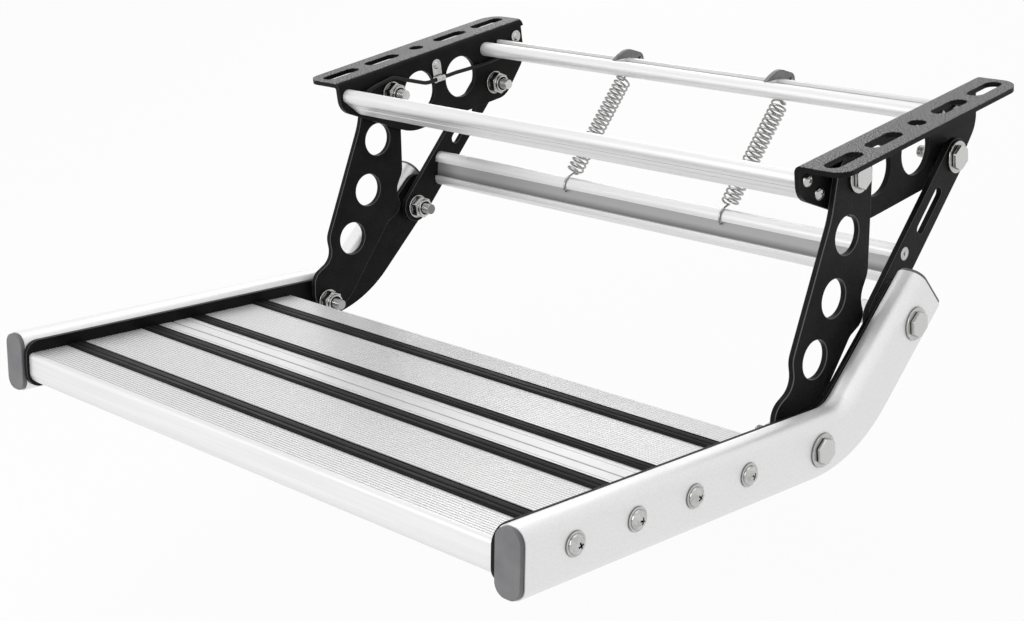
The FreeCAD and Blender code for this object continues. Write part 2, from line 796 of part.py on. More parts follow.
def end_cap(name, rim, tail_end):
    """Plastic cap: a flat rim over the tube's end and a spigot inside it."""
    if tail_end:
        lean = rail_upturn
        run = upturn_start + rail_tail * cosine(rail_upturn)
        rise = rail_axis + rail_tail * sine(rail_upturn)
    else:
        lean = measure(180)
        run, rise = rail_front, rail_axis
    y = run * tilt_cosine + rise * tilt_sine
    z = rise * tilt_cosine - run * tilt_sine
    body = new_body(name, y, z, lean - tread_tilt)
    middle = plate_outer + rail_width / 2
    half_width = rail_width / 2 - cap_inset
    half_height = rail_height / 2 - cap_inset
    radius = rail_corner - cap_inset
    sketch = new_sketch(body, "XZ_Plane")
    outline(sketch, [
        (middle - half_width, -half_height, radius),
        (middle + half_width, -half_height, radius),
        (middle + half_width, half_height, radius),
        (middle - half_width, half_height, radius),
    ])
    pad(body, sketch, rim, backwards=True)
    inside = rail_wall + assembly_clearance
    sketch = new_sketch(body, "XZ_Plane")
    outline(sketch, [
        (middle - rail_width / 2 + inside, inside - rail_height / 2, rail_corner - inside),
        (middle + rail_width / 2 - inside, inside - rail_height / 2, rail_corner - inside),
        (middle + rail_width / 2 - inside, rail_height / 2 - inside, rail_corner - inside),
        (middle - rail_width / 2 + inside, rail_height / 2 - inside, rail_corner - inside),
    ])
    pad(body, sketch, cap_spigot)
    return body


rail_skin = rail_solid("rail_skin", measure(0), measure(0), True)
rail_hollow = rail_solid("rail_hollow", rail_wall, measure(2), False)
pair("rail", cut("rail_form", rail_skin, rail_hollow))
pair("rail_plate", rail_plate())
pair("front_end_cap", end_cap("front_cap_form", cap_rim, False))
pair("rear_end_cap", end_cap("rear_cap_form", tail_cap_rim, True))


# Tread planks: hollow ribbed extrusions; runs are counted back from the rail's front end
STRIPS = [
    (strip_first, strip_wide),
    (strip_second, strip_wide),
    (strip_third, strip_narrow),
    (strip_fourth, strip_wide),
]
tread_nose = rail_front + 0.6
split_run = rail_front + plank_split - 19.6
tread_back = tread_pivot_run - tread_rear
chamber_top = tread_top - plank_wall - strip_thickness + strip_proud
chamber_floor = tread_top - plank_depth + plank_wall
port_reach = screw_radius + plank_wall


def chamber(sketch, first, last, port_first, port_last):
    """One hollow of a plank; a side with a screw port steps round its boss."""
    port_floor = rail_axis + screw_lift - port_reach
    corners = [(first, chamber_floor, 1)]
    corners.append((last, chamber_floor, 1))
    if port_last:
        boss = last + plank_wall / 2 - port_reach
        corners += [(last, port_floor), (boss, port_floor), (boss, chamber_top, 1)]
    else:
        corners.append((last, chamber_top, 1))
    if port_first:
        boss = first - plank_wall / 2 + port_reach
        corners += [(boss, chamber_top, 1), (boss, port_floor), (first, port_floor)]
    else:
        corners.append((first, chamber_top, 1))
    outline(sketch, corners)


def plank(name, front, back, nose, ports, strips):
    body = new_body(name, angle=-tread_tilt)
    sketch = new_sketch(body, "YZ_Plane", -plate_inner)
    underside = tread_top - plank_depth
    if nose:
        front_corners = [(front, underside, nose_low_radius), (front, tread_top, nose_top_radius)]
    else:
        front_corners = [(front, underside, 1), (front, tread_top, 1)]
    outline(sketch, front_corners + [(back, tread_top, 1), (back, underside, 1)])
    walls = [front + plank_wall * (2 if nose else 1), ports[0], ports[1], back - plank_wall]
    half_wall = plank_wall / 2
    chamber(sketch, walls[0], ports[0] - half_wall, False, True)
    chamber(sketch, ports[0] + half_wall, ports[1] - half_wall, True, True)
    chamber(sketch, ports[1] + half_wall, walls[3], True, False)
    for port in ports:
        circle(sketch, port, rail_axis + screw_lift, screw_radius + assembly_clearance / 2)
    pad(body, sketch, plate_inner * 2)
    seat_depth = strip_thickness - strip_proud
    edges = []
    for run, width in strips:
        seat = new_sketch(body, "YZ_Plane", plate_inner)
        reach = width / 2 + strip_fit
        outline(seat, [
            (run - reach, tread_top - seat_depth),
            (run + reach, tread_top - seat_depth),
            (run + reach, tread_top + 1),
            (run - reach, tread_top + 1),
        ])
        pocket(body, seat, plate_inner * 2)
        edges.append((run - reach, run + reach))
    start = front + (nose_top_radius if nose else 5)
    broad = rib_pitch * 3
    for index, (low, high) in enumerate(edges):
        rib_field(body, start, low, rib_pitch if nose or index else broad)
        start = high
    rib_field(body, start, back - (5 if nose else 1.5), broad if nose else rib_pitch)
    return body


def rib_field(body, first, last, pitch):
    """Grooves along the plank, as many as fit between two runs."""
    span = (last - first).value
    count = int(span / pitch.value)
    if count < 1:
        return
    margin = (last - first - pitch * (count - 1)) / 2
    groove = new_sketch(body, "YZ_Plane", plate_inner)
    start = first + margin
    outline(groove, [
        (start, tread_top - rib_depth),
        (start + rib_groove / 2, tread_top + 0.1),
        (start - rib_groove / 2, tread_top + 0.1),
    ])
    cutter = pocket(body, groove, plate_inner * 2)
    if count == 1:
        return
    pattern = body.newObject("PartDesign::LinearPattern", body.Name + "_ribs")
    pattern.Originals = [cutter]
    pattern.Direction = (groove, ["H_Axis"])
    pattern.Mode = "Spacing"
    pattern.setExpression("Offset", pitch.formula)
    pattern.Occurrences = count
    body.Tip = pattern


def grip_strip(name, run, width):
    """Rubber strip in its seat, with a ridge along each edge and one between."""
    body = new_body(name, angle=-tread_tilt)
    sketch = new_sketch(body, "YZ_Plane", -plate_inner)
    floor = tread_top - (strip_thickness - strip_proud)
    top = tread_top + strip_proud
    half = width / 2
    outline(sketch, [
        (run - half, floor),
        (run + half, floor),
        (run + half, top, 0.5),
        (run + half * 0.45, top),
        (run + half * 0.35, top - 0.7),
        (run - half * 0.35, top - 0.7),
        (run - half * 0.45, top),
        (run - half, top, 0.5),
    ])
    pad(body, sketch, plate_inner * 2)
    keep(name, body)


runs = screw_runs()
strip_runs = [(rail_front + run, width) for run, width in STRIPS]
keep("front_tread_plank", plank("front_plank_form", tread_nose, split_run, True, runs[:2], strip_runs[:2]))
keep("rear_tread_plank",
     plank("rear_plank_form", split_run + plank_joint, tread_back, False, runs[2:], strip_runs[2:]))
for number, (run, width) in enumerate(strip_runs, 1):
    grip_strip(f"grip_strip_{number}", run, width)


# Tread screws: pan heads and washers outside the rails, four a side
def tread_fixings():
    screws, washers = [], []
    for index, run in enumerate(runs):
        rise = rail_axis + screw_lift
        y = run * tilt_cosine + rise * tilt_sine
        z = rise * tilt_cosine - run * tilt_sine
        seat = rail_outer + screw_washer_thickness
        screws.append(turned(f"tread_screw_{index}", [
            (plate_inner - screw_grip, 0),
            (plate_inner - screw_grip, screw_radius),
            (seat, screw_radius),
            (seat, screw_head_radius),
            (seat + screw_head_height, screw_head_radius * 0.55),
            (seat + screw_head_height, 0),
        ], y, z))
        washers.append(ring(f"tread_washer_{index}", rail_outer, seat, screw_washer_radius,
                            screw_radius + assembly_clearance, y, z))
    both_sides("tread_screws", screws)
    both_sides("tread_screw_washers", washers)


tread_fixings()


# Pivot hardware
def pivot_bolt(name, head_seat, tip, y, z, hex_head=True):
    """Low hexagon head on its seat and a plain shank down to the thread end."""
    body = new_body(name, y, z)
    shank = new_sketch(body, "YZ_Plane", tip)
    circle(shank, 0, 0, bolt_radius)
    pad(body, shank, head_seat - tip)
    head = new_sketch(body, "YZ_Plane", head_seat)
    if hex_head:
        hexagon(head, head_width)
    else:
        circle(head, 0, 0, bolt_radius)
    pad(body, head, head_height)
    return body


def pivot_nut(name, seat, y, z):
    """Locking nut against its washer: a hexagon with a round collar."""
    body = new_body(name, y, z)
    flats = new_sketch(body, "YZ_Plane", seat)
    hexagon(flats, nut_width)
    circle(flats, 0, 0, bolt_radius + assembly_clearance / 2)
    pad(body, flats, nut_height, backwards=True)
    collar = new_sketch(body, "YZ_Plane", seat - nut_height)
    circle(collar, 0, 0, nut_width / 2 - 1)
    circle(collar, 0, 0, bolt_radius + assembly_clearance / 2)
    pad(body, collar, nut_collar, backwards=True)
    return body


def pivot_set(name, y, z, head_face, spacer_from, spacer_to, nut_face):
    """Bolt, nut, two washers and spacer of one pivot, on both sides."""
    bore = bolt_radius + assembly_clearance
    head_seat = head_face + washer_thickness
    nut_seat = nut_face - washer_thickness
    tip = nut_seat - nut_height - nut_collar - thread_end
    both_sides(name + "_pivot_bolts", [pivot_bolt(name + "_bolt", head_seat, tip, y, z)])
    both_sides(name + "_pivot_nuts", [pivot_nut(name + "_nut", nut_seat, y, z)])
    both_sides(name + "_pivot_washers", [
        ring(name + "_head_washer", head_face, head_seat, head_washer_radius, bore, y, z),
        ring(name + "_nut_washer", nut_seat, nut_face, nut_washer_radius, bore, y, z),
    ])
    both_sides(name + "_pivot_spacers",
               [ring(name + "_spacer", spacer_from, spacer_to, spacer_radius, bore, y, z)])


pivot_set("front", front_pivot_y, front_pivot_z, arm_outer + pivot_play,
          web_outer, arm_inner - pivot_play, web_inner)
pivot_set("rear", rear_pivot_y, rear_pivot_z, arm_outer + pivot_play,
          web_outer, arm_inner - pivot_play, web_inner)
pivot_set("tread", tread_pivot_y, tread_pivot_z, rail_outer,
          arm_outer + pivot_play, plate_inner, arm_inner - pivot_play)


def link_pivot():
    """The pivot of rail and rear arm: a bolt held in the rail, a stud held in the arm."""
    y, z = link_pivot_y, link_pivot_z
    bore = bolt_radius + assembly_clearance
    head_seat = rail_outer + washer_thickness
    both_sides("link_pivot_bolts", [pivot_bolt("link_bolt", head_seat, plate_inner, y, z)])
    both_sides("link_pivot_washers",
               [ring("link_head_washer", rail_outer, head_seat, head_washer_radius, bore, y, z)])
    stud_face = plate_inner - pivot_play * 1.5
    nut_seat = arm_inner - washer_thickness
    tip = nut_seat - nut_height - nut_collar - thread_end
    stud = pivot_bolt("link_stud", stud_face - head_height, tip, y, z, hex_head=False)
    both_sides("link_pivot_studs", [stud])
    both_sides("link_pivot_nuts", [pivot_nut("link_nut", nut_seat, y, z)])
    both_sides("link_pivot_nut_washers",
               [ring("link_nut_washer", nut_seat, arm_inner, nut_washer_radius, bore, y, z)])
    both_sides("link_pivot_spacers",
               [ring("link_spacer", arm_outer, stud_face, spacer_radius, bore, y, z)])


link_pivot()


# Spring hangers: hooked plates round the back of the rear cross bar
def spring_hanger():
    """Crescent over the bar's back edge, beside the spring whose eye passes through it."""
    half = bar_port_spacing / 2
    inside = bar_radius + assembly_clearance
    face = spring_x - spring_wire - hanger_play - hanger_sheet
    blank = new_body("hanger_blank", rear_bar_y, rear_bar_z, rear_bar_angle)
    sketch = new_sketch(blank, "YZ_Plane", face)
    outline(sketch, [
        (half - 16, inside),
        (half - 11, inside + 3.2, 8),
        (half - 1, inside + 7, 14),
        (half + 16.8, inside + 0.8, 6),
        (half + 16.8, -2, 3.5),
        (half + 11.5, -3.2, 2),
        (half + inside + 0.2, -inside - 2.6, 3),
        (half - 1.6, -inside - 2.6, 1),
        (half - 1.6, -inside, 0.8),
        (half + 3.2, -inside, 3),
        (half + inside + 0.2, -3, 2.8),
        (half + inside + 0.2, 3, 2.8),
        (half + 3.2, inside, 3),
    ])
    pad(blank, sketch, hanger_sheet)
    eye = new_body("hanger_eye", hanger_y, hanger_z)
    sketch = new_sketch(eye, "YZ_Plane", face - 1)
    circle(sketch, 0, 0, spring_wire + 0.4)
    pad(eye, sketch, hanger_sheet + 2)
    return cut("hanger_form", blank, eye)


pair("spring_hanger", spring_hanger())


# Springs: close coils of wire, an eye at the hanger and a hook over the lower bar
def pipe(body, path, section):
    """Wire of the section's shape along an open sketch."""
    feature = body.newObject("PartDesign::AdditivePipe", body.Name + "_pipe")
    feature.Profile = section
    feature.Spine = (path, [])
    body.Tip = feature


def wire_section(sketch):
    """The spring's wire, as a hexagon inside its round."""
    corners = []
    for index in range(6):
        angle = math.radians(60 * index)
        corners.append((spring_x + spring_wire * math.cos(angle), spring_wire * math.sin(angle)))
    outline(sketch, corners)


def spring():
    wrap = bar_radius + spring_wire + assembly_clearance
    port_y, port_z = bar_ports("lower")[1]
    across, up = port_y - hanger_y, port_z - hanger_z
    distance = square_root(across * across + up * up)
    angle = heading(across, up) - arcsine(spring_aim / distance)
    port_run = square_root(distance * distance - spring_aim * spring_aim)
    last_coil = port_run - spring_shank
    coil_pitch = (last_coil - spring_neck) / spring_turns

    body = new_body("spring_form", hanger_y, hanger_z, angle)
    coils = new_sketch(body, "YZ_Plane", spring_x)
    profile = [(spring_neck, 0)]
    for turn in range(int(spring_turns.value)):
        profile.append((spring_neck + coil_pitch * turn, spring_radius))
        profile.append((spring_neck + coil_pitch * (turn + 0.5), spring_radius + spring_wire))
    profile += [(last_coil, spring_radius), (last_coil, 0)]
    outline(coils, profile)
    turning = body.newObject("PartDesign::Revolution", "spring_coils")
    turning.Profile = coils
    turning.ReferenceAxis = (coils, ["H_Axis"])
    turning.Angle = 360
    body.Tip = turning

    # The hook leaves the coils, rounds the bar's upper edge and ends in its channel
    slant = heading(spring_shank, spring_aim) - arcsine(wrap / square_root(
        spring_shank * spring_shank + spring_aim * spring_aim))
    turn = lower_bar_angle - angle - 180
    middle, half = (turn + slant) / 2, (turn - slant) / 2
    reach = wrap / cosine(half)
    corner = (port_run + reach * sine(middle), spring_aim - reach * cosine(middle))
    drop = wrap * tangent(half) + (bar_port_spacing - bar_channel_width) / 2 + spring_wire
    toe = (corner[0] + drop * cosine(turn), corner[1] + drop * sine(turn))
    hook = new_sketch(body, "YZ_Plane", spring_x)
    outline(hook, [
        (last_coil - 1, 0),
        (*corner, wrap),
        (*toe, spring_wire * 1.5),
        (toe[0] - spring_tip * sine(turn), toe[1] + spring_tip * cosine(turn)),
    ], closed=False)
    section = new_sketch(body, "XZ_Plane", 1 - last_coil)
    wire_section(section)
    pipe(body, hook, section)

    # The neck runs back beside the hanger and turns through its hole
    neck = new_sketch(body, "XY_Plane")
    outline(neck, [
        (spring_x, spring_neck + 1),
        (spring_x, 0, spring_wire * 1.5),
        (spring_x - spring_wire - hanger_play - hanger_sheet - 1.5, 0),
    ], closed=False)
    section = new_sketch(body, "XZ_Plane", -1 - spring_neck)
    wire_section(section)
    pipe(body, neck, section)
    return body


pair("spring", spring())


# Cable: black lead clipped along the inside of the left web
def cable():
    """Straight runs joined by tangent arcs, from the front bar's channel to the lug."""
    lean, rise = -sine(front_bar_angle), cosine(front_bar_angle)
    floor = bar_radius - bar_channel_depth + cable_radius
    start_y = front_bar_y + lean * floor
    start_z = front_bar_z + rise * floor
    route = [
        (front_pivot_y - 17.5, front_pivot_z + 10, 8),
        (front_pivot_y + 1.5, front_pivot_z + 11.9, 12),
        (clip_y - 14, clip_cable_z, 20),
        (clip_y + 18, clip_cable_z, 60),
        (rear_pivot_y - 14, clip_cable_z - 1.5, 60),
        (lug_y - 7, clip_cable_z, 10),
        (lug_y, lug_z - rivet_radius * 1.5 + 0.5),
    ]
    angle = heading(route[0][0] - start_y, route[0][1] - start_z)
    run, climb = cosine(angle), sine(angle)
    body = new_body("cable_form", start_y, start_z, angle)
    path = new_sketch(body, "YZ_Plane", clip_sheet + cable_radius + assembly_clearance - web_inner)
    corners = [(0, 0)]
    for y, z, *radius in route:
        across, up = y - start_y, z - start_z
        corners.append((across * run + up * climb, up * run - across * climb, *radius))
    outline(path, corners, closed=False)
    section = new_sketch(body, "XZ_Plane")
    circle(section, clip_sheet + cable_radius + assembly_clearance - web_inner, 0, cable_radius)
    pipe(body, path, section)
    return body


def cable_clip():
    """Sheet tab under a rivet, rolled round the cable at its lower end."""
    body = new_body("clip_tab", clip_y, 0)
    sketch = new_sketch(body, "YZ_Plane", -web_inner)
    half = clip_width / 2
    outline(sketch, [
        (-half, clip_cable_z),
        (half, clip_cable_z),
        (half, clip_rivet_z + half, half - 0.2),
        (-half, clip_rivet_z + half, half - 0.2),
    ])
    circle(sketch, 0, clip_rivet_z, rivet_radius / 2 + assembly_clearance)
    pad(body, sketch, clip_sheet)
    loop = new_body("clip_loop", clip_y, clip_cable_z)
    sketch = new_sketch(loop, "XZ_Plane", half)
    centre = clip_sheet + cable_radius + 0.1 - web_inner
    circle(sketch, centre, 0, cable_radius + clip_sheet + 0.05)
    pad(loop, sketch, clip_width, backwards=True)
    bore = new_body("clip_bore", clip_y, clip_cable_z)
    sketch = new_sketch(bore, "XZ_Plane", half + 1)
    circle(sketch, centre, 0, cable_radius + 0.05)
    pad(bore, sketch, clip_width + 2, backwards=True)
    rolled = document.addObject("Part::Fuse", "clip_rolled")
    rolled.Base = body
    rolled.Tool = loop
    return cut("clip_form", rolled, bore)


def cable_lug():
    """Crimp eye that ends the cable, flat under its rivet."""
    body = new_body("lug_eye", lug_y, lug_z)
    sketch = new_sketch(body, "YZ_Plane", -web_inner)
    circle(sketch, 0, 0, rivet_radius * 1.5)
    circle(sketch, 0, 0, rivet_radius / 2 + assembly_clearance)
    pad(body, sketch, clip_sheet)
    return body


def rivet(name, y, z):
    """Flat-headed rivet: its head over the tab, its shank in the web."""
    head_seat = web_inner - clip_sheet
    head = rivet_radius * 0.45
    body = turned(name, [
        (-web_outer, 0),
        (-web_outer, rivet_radius / 2),
        (-head_seat, rivet_radius / 2),
        (-head_seat, rivet_radius),
        (head - head_seat, rivet_radius * 0.6),
        (head - head_seat, 0),
    ], y, z)
    keep(name, body)


keep("cable", cable())
keep("cable_clip", cable_clip())
keep("cable_lug", cable_lug())
rivet("cable_clip_rivet", clip_y, clip_rivet_z)
rivet("cable_lug_rivet", lug_y, lug_z)

document.recompute()
for piece in document.Objects:
    if "Invalid" in piece.State or "Error" in piece.State:
        raise RuntimeError(f"{piece.Label} failed: {piece.State}")
for label, piece in parts.items():
    if piece.Shape.isNull() or not piece.Shape.isValid():
        raise RuntimeError(f"{label} has no valid shape")

os.makedirs("parts", exist_ok=True)
for label, piece in parts.items():
    piece.Shape.exportStep(os.path.join("parts", label + ".step"))
route = document.getObject("cable_form_sketch").Shape
bends = [round(edge.Curve.Radius, 1) for edge in route.Edges if isinstance(edge.Curve, Part.Circle)]
held = math.pi * cable_radius.value ** 2 * route.Length
print("cable bends", bends, "volume", round(parts["cable"].Shape.Volume, 1),
      "section times length", round(held, 1))
print(len(parts), "parts written")
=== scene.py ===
import json
from math import asin, atan2, cos, hypot, pi, radians, sin, tau

import bpy
from mathutils import Matrix, Vector

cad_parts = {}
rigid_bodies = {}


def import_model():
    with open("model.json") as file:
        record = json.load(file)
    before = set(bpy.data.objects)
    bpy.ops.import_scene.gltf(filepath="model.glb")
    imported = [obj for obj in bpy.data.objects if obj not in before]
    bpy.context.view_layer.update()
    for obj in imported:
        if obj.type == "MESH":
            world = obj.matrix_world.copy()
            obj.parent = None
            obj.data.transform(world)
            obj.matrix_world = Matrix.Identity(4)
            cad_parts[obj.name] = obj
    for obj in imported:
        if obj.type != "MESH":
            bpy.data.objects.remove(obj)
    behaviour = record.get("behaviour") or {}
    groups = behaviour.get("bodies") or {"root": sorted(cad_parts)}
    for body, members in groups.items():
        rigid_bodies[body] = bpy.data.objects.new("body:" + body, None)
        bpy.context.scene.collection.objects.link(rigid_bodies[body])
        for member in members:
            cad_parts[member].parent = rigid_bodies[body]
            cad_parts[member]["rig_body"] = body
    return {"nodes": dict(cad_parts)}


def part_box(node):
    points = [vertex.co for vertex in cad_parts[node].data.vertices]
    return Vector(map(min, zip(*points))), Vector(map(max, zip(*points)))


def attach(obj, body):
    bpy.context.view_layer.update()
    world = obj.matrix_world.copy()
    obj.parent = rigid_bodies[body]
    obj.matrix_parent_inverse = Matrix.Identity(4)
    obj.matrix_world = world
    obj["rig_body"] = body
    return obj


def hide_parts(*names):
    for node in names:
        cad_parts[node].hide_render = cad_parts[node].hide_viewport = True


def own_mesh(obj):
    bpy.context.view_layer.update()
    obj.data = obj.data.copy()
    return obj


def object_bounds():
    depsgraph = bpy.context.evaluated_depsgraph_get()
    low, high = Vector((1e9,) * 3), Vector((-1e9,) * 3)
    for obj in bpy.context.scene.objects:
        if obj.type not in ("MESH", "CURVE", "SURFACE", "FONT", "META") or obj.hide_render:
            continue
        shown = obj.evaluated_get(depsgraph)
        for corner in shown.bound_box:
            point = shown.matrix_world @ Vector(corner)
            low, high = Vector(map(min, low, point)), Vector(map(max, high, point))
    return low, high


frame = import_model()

cad_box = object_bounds()
nodes = frame["nodes"]

# The camera stands to the right of the step, in front of it and a little above its
# mounting flanges, and looks down over the tread with a long lens and a slight roll.
bpy.ops.object.select_all(action="DESELECT")
bpy.ops.object.camera_add(
    location=(0.81712, -0.91155, 0.34677),
    rotation=(radians(67.2857), radians(6.1163), radians(44.1912)),
)
camera = bpy.context.object
camera.data.sensor_width = 36
camera.data.lens = 63.9946
camera.data.clip_start = 0.01
bpy.context.scene.camera = camera


# Mounting brackets: two angles folded from 3.5 mm steel sheet, punched with slots on the
# flange and two round windows in the web, then coated with a fine-grained black powder.
def ease_corners(piece, width, steps, rim_slot=-1):
    """Round the sharp corners of a piece, the new faces in a material slot if one is given."""
    sharp = radians(40)
    bevel = piece.modifiers.new("Eased corners", "BEVEL")
    bevel.width = width
    bevel.segments = steps
    bevel.limit_method = "ANGLE"
    bevel.angle_limit = sharp
    bevel.material = rim_slot
    bpy.ops.object.modifier_apply(modifier=bevel.name)


def mark_rim(piece):
    """Keep which faces came from the eased corners as an attribute, and empty the slots."""
    rim = piece.data.attributes.new("eased_rim", "FLOAT", "FACE")
    for polygon, mark in zip(piece.data.polygons, rim.data):
        mark.value = polygon.material_index
        polygon.material_index = 0
    piece.data.materials.clear()


def eased(name, finish, edge=0.0, steps=2, smooth=50):
    """A merged copy of a plain node with eased corners and its finish, in the node's place."""
    touching, nearly_flat = 0.000002, radians(0.4)
    bpy.ops.object.select_all(action="DESELECT")
    piece = bpy.data.objects.new(name + "_finished", nodes[name].data.copy())
    bpy.context.scene.collection.objects.link(piece)
    bpy.context.view_layer.objects.active = piece
    piece.select_set(True)
    piece.data.materials.clear()
    bpy.ops.mesh.customdata_custom_splitnormals_clear()
    bpy.ops.object.mode_set(mode="EDIT")
    bpy.ops.mesh.select_all(action="SELECT")
    bpy.ops.mesh.remove_doubles(threshold=touching)
    bpy.ops.mesh.dissolve_limited(angle_limit=nearly_flat)
    bpy.ops.object.mode_set(mode="OBJECT")
    if edge:
        piece.data.materials.append(None)
        piece.data.materials.append(None)
        ease_corners(piece, edge, steps, rim_slot=1)
        mark_rim(piece)
    bpy.ops.object.shade_smooth_by_angle(angle=radians(smooth))
    weighted = piece.modifiers.new("Flat faces stay flat", "WEIGHTED_NORMAL")
    weighted.keep_sharp = True
    bpy.ops.object.modifier_apply(modifier=weighted.name)
    piece.data.materials.append(finish)
    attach(piece, nodes[name]["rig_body"])
    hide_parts(name)
    return piece


def new_finish(name, colour, metallic, roughness):
    """A material with its shader and the object's own coordinates."""
    finish = bpy.data.materials.new(name)
    finish.use_nodes = True
    tree = finish.node_tree
    shader = tree.nodes["Principled BSDF"]
    shader.inputs["Base Color"].default_value = (*colour, 1)
    shader.inputs["Metallic"].default_value = metallic
    shader.inputs["Roughness"].default_value = roughness
    place = tree.nodes.new("ShaderNodeTexCoord")
    return finish, tree, shader, place.outputs["Object"]


def grain(tree, place, scale, detail=3, stretch=(1, 1, 1), distortion=0.0):
    """Noise of so many cells to the metre, drawn out along an axis by stretch."""
    mapping = tree.nodes.new("ShaderNodeMapping")
    mapping.inputs["Scale"].default_value = stretch
    noise = tree.nodes.new("ShaderNodeTexNoise")
    noise.inputs["Scale"].default_value = scale
    noise.inputs["Detail"].default_value = detail
    noise.inputs["Distortion"].default_value = distortion
    tree.links.new(place, mapping.inputs["Vector"])
    tree.links.new(mapping.outputs["Vector"], noise.inputs["Vector"])
    return noise.outputs["Fac"]


def spread(tree, value, low, high, start=0.3, end=0.7):
    """A value that goes from start to end, turned into a number between low and high."""
    spreader = tree.nodes.new("ShaderNodeMapRange")
    limits = {"From Min": start, "From Max": end, "To Min": low, "To Max": high}
    for socket, number in limits.items():
        spreader.inputs[socket].default_value = number
    tree.links.new(value, spreader.inputs["Value"])
    return spreader.outputs["Result"]


def tint(tree, value, dark, light, start=0.3, end=0.7):
    """A colour between dark and light by a noise value."""
    ramp = tree.nodes.new("ShaderNodeValToRGB")
    for stop, position, colour in zip(ramp.color_ramp.elements, (start, end), (dark, light)):
        stop.position = position
        stop.color = (*colour, 1)
    tree.links.new(value, ramp.inputs["Fac"])
    return ramp.outputs["Color"]


def relief(tree, shader, height, strength, depth):
    """Bump on the shader from a height value, depth in metres."""
    bump = tree.nodes.new("ShaderNodeBump")
    bump.inputs["Strength"].default_value = strength
    bump.inputs["Distance"].default_value = depth
    tree.links.new(height, bump.inputs["Height"])
    tree.links.new(bump.outputs["Normal"], shader.inputs["Normal"])


def calculate(tree, operation, *values):
    """One sum in a material, on plain numbers and on the outputs of other nodes."""
    step = tree.nodes.new("ShaderNodeMath")
    step.operation = operation
    for socket, value in zip(step.inputs, values):
        if isinstance(value, (int, float)):
            socket.default_value = value
        else:
            tree.links.new(value, socket)
    return step.outputs[0]


def mixed(tree, share, first, second):
    """A colour that goes from the first to the second as the share goes from 0 to 1."""
    mix = tree.nodes.new("ShaderNodeMix")
    mix.data_type = "RGBA"
    for socket, value in (("Factor", share), ("A", first), ("B", second)):
        if isinstance(value, tuple):
            mix.inputs[socket].default_value = (*value, 1)
        else:
            tree.links.new(value, mix.inputs[socket])
    return mix.outputs["Result"]


def both(tree, first, second):
    """The product of two marks: 1 only where both are."""
    return calculate(tree, "MULTIPLY", first, second)


def within(tree, value, middle, reach):
    """1 where a value lies within reach of the middle, else 0."""
    return calculate(tree, "COMPARE", value, middle, reach)


def along_direction(tree, place, direction, offset):
    """How far a point lies along a direction in the side view, less an offset."""
    dot = tree.nodes.new("ShaderNodeVectorMath")
    dot.operation = "DOT_PRODUCT"
    dot.inputs[1].default_value = (0, *direction)
    tree.links.new(place, dot.inputs[0])
    return calculate(tree, "SUBTRACT", dot.outputs["Value"], offset)


def black_powder_coat():
    """Nearly black and pebbled, with pale specks painted on the flange's top as sheen, and painted
    highlights on the eased corners.
    """
    finish, tree, shader, place = new_finish("black powder coat", (0.008, 0.008, 0.008), 0, 0.45)
    shader.inputs["Specular IOR Level"].default_value = 0.06
    coat = tint(tree, grain(tree, place, 60, 4), (0.006, 0.006, 0.006), (0.012, 0.012, 0.012))
    # Pale specks on the flange's top are painted sheen, where its top would catch the light.
    flange_top = within(tree, along_direction(tree, place, (0, 1), 0), 0, 0.0004)
    speck = spread(tree, grain(tree, place, 1100, 3), 0.1, 1, start=0.46, end=0.62)
    painted_sheen_specks = mixed(tree, both(tree, flange_top, speck), coat, (0.4, 0.4, 0.4))
    # The eased corners are painted pale as highlights along the edges of the black steel.
    rim = tree.nodes.new("ShaderNodeAttribute")
    rim.attribute_name = "eased_rim"
    painted_edge_highlights = mixed(tree, rim.outputs["Fac"], painted_sheen_specks, (0.13, 0.13, 0.13))
    tree.links.new(painted_edge_highlights, shader.inputs["Base Color"])
    pebble = grain(tree, place, 1500, 2)
    tree.links.new(spread(tree, pebble, 0.2, 0.42), shader.inputs["Roughness"])
    relief(tree, shader, pebble, 0.9, 0.00035)
    return finish


powder = black_powder_coat()
for name in ("left_bracket", "right_bracket"):
    bracket = eased(name, powder, edge=0.0006, steps=3)


# Cross bars: one oval aluminium extrusion, satin anodised, cut to length three times. Its
# screw ports run through the round ends, with a shallow channel along one flat between.
# Each is given by the middle of its section in the side view (y, z) and the angle of its
# flats in degrees.
bars = {
    "front": (-0.08475, -0.01725, -46.5),
    "rear": (0.061, -0.0138, -6),
    "lower": (-0.0035, -0.095, 79.4),
}
port_reach = 0.008

# Bands of painted shade in the channel: how far each lies to the side of the bar's middle,
# how high over it, and how far it reaches to either side of each.
channel_shade_bands = {
    "front": (0.0053, 0.00022, 0.0038, 0.0014),
    "rear": (0.0054, 0.0006, 0.0027, 0.0003),
    "lower": (0, 0.00545, 0.0033, 0.0011),
}
# A fine line of painted shade beside the plain flat, standing for the shade in a groove.
groove_shade_line = (-0.0064, 0.00022, -0.0052, 0.0008)


def ports(which):
    """The two screw ports of a bar, as (y, z)."""
    y, z, angle = bars[which]
    across, up = port_reach * cos(radians(angle)), port_reach * sin(radians(angle))
    return [(y - across, z - up), (y + across, z + up)]


def satin_aluminium(name, along, bright=0.79, drawn=0.06):
    """Anodised extrusion with its grain drawn out one way, its colour not yet on the shader."""
    finish, tree, shader, place = new_finish(name, (bright, bright, bright), 0.55, 0.42)
    lines = grain(tree, place, 420, 3, along)
    colour = tint(tree, lines, (bright * 0.95,) * 3, (bright * 1.03,) * 3)
    cloud = grain(tree, place, 22, 3)
    tree.links.new(spread(tree, cloud, 0.4, 0.45), shader.inputs["Roughness"])
    relief(tree, shader, lines, drawn, 0.0001)
    return finish, tree, shader, place, colour


def in_band(tree, aside, height, band):
    """1 inside a band that runs along the bar, else 0."""
    side, side_reach, middle, reach = band
    return both(tree, within(tree, aside, side, side_reach), within(tree, height, middle, reach))


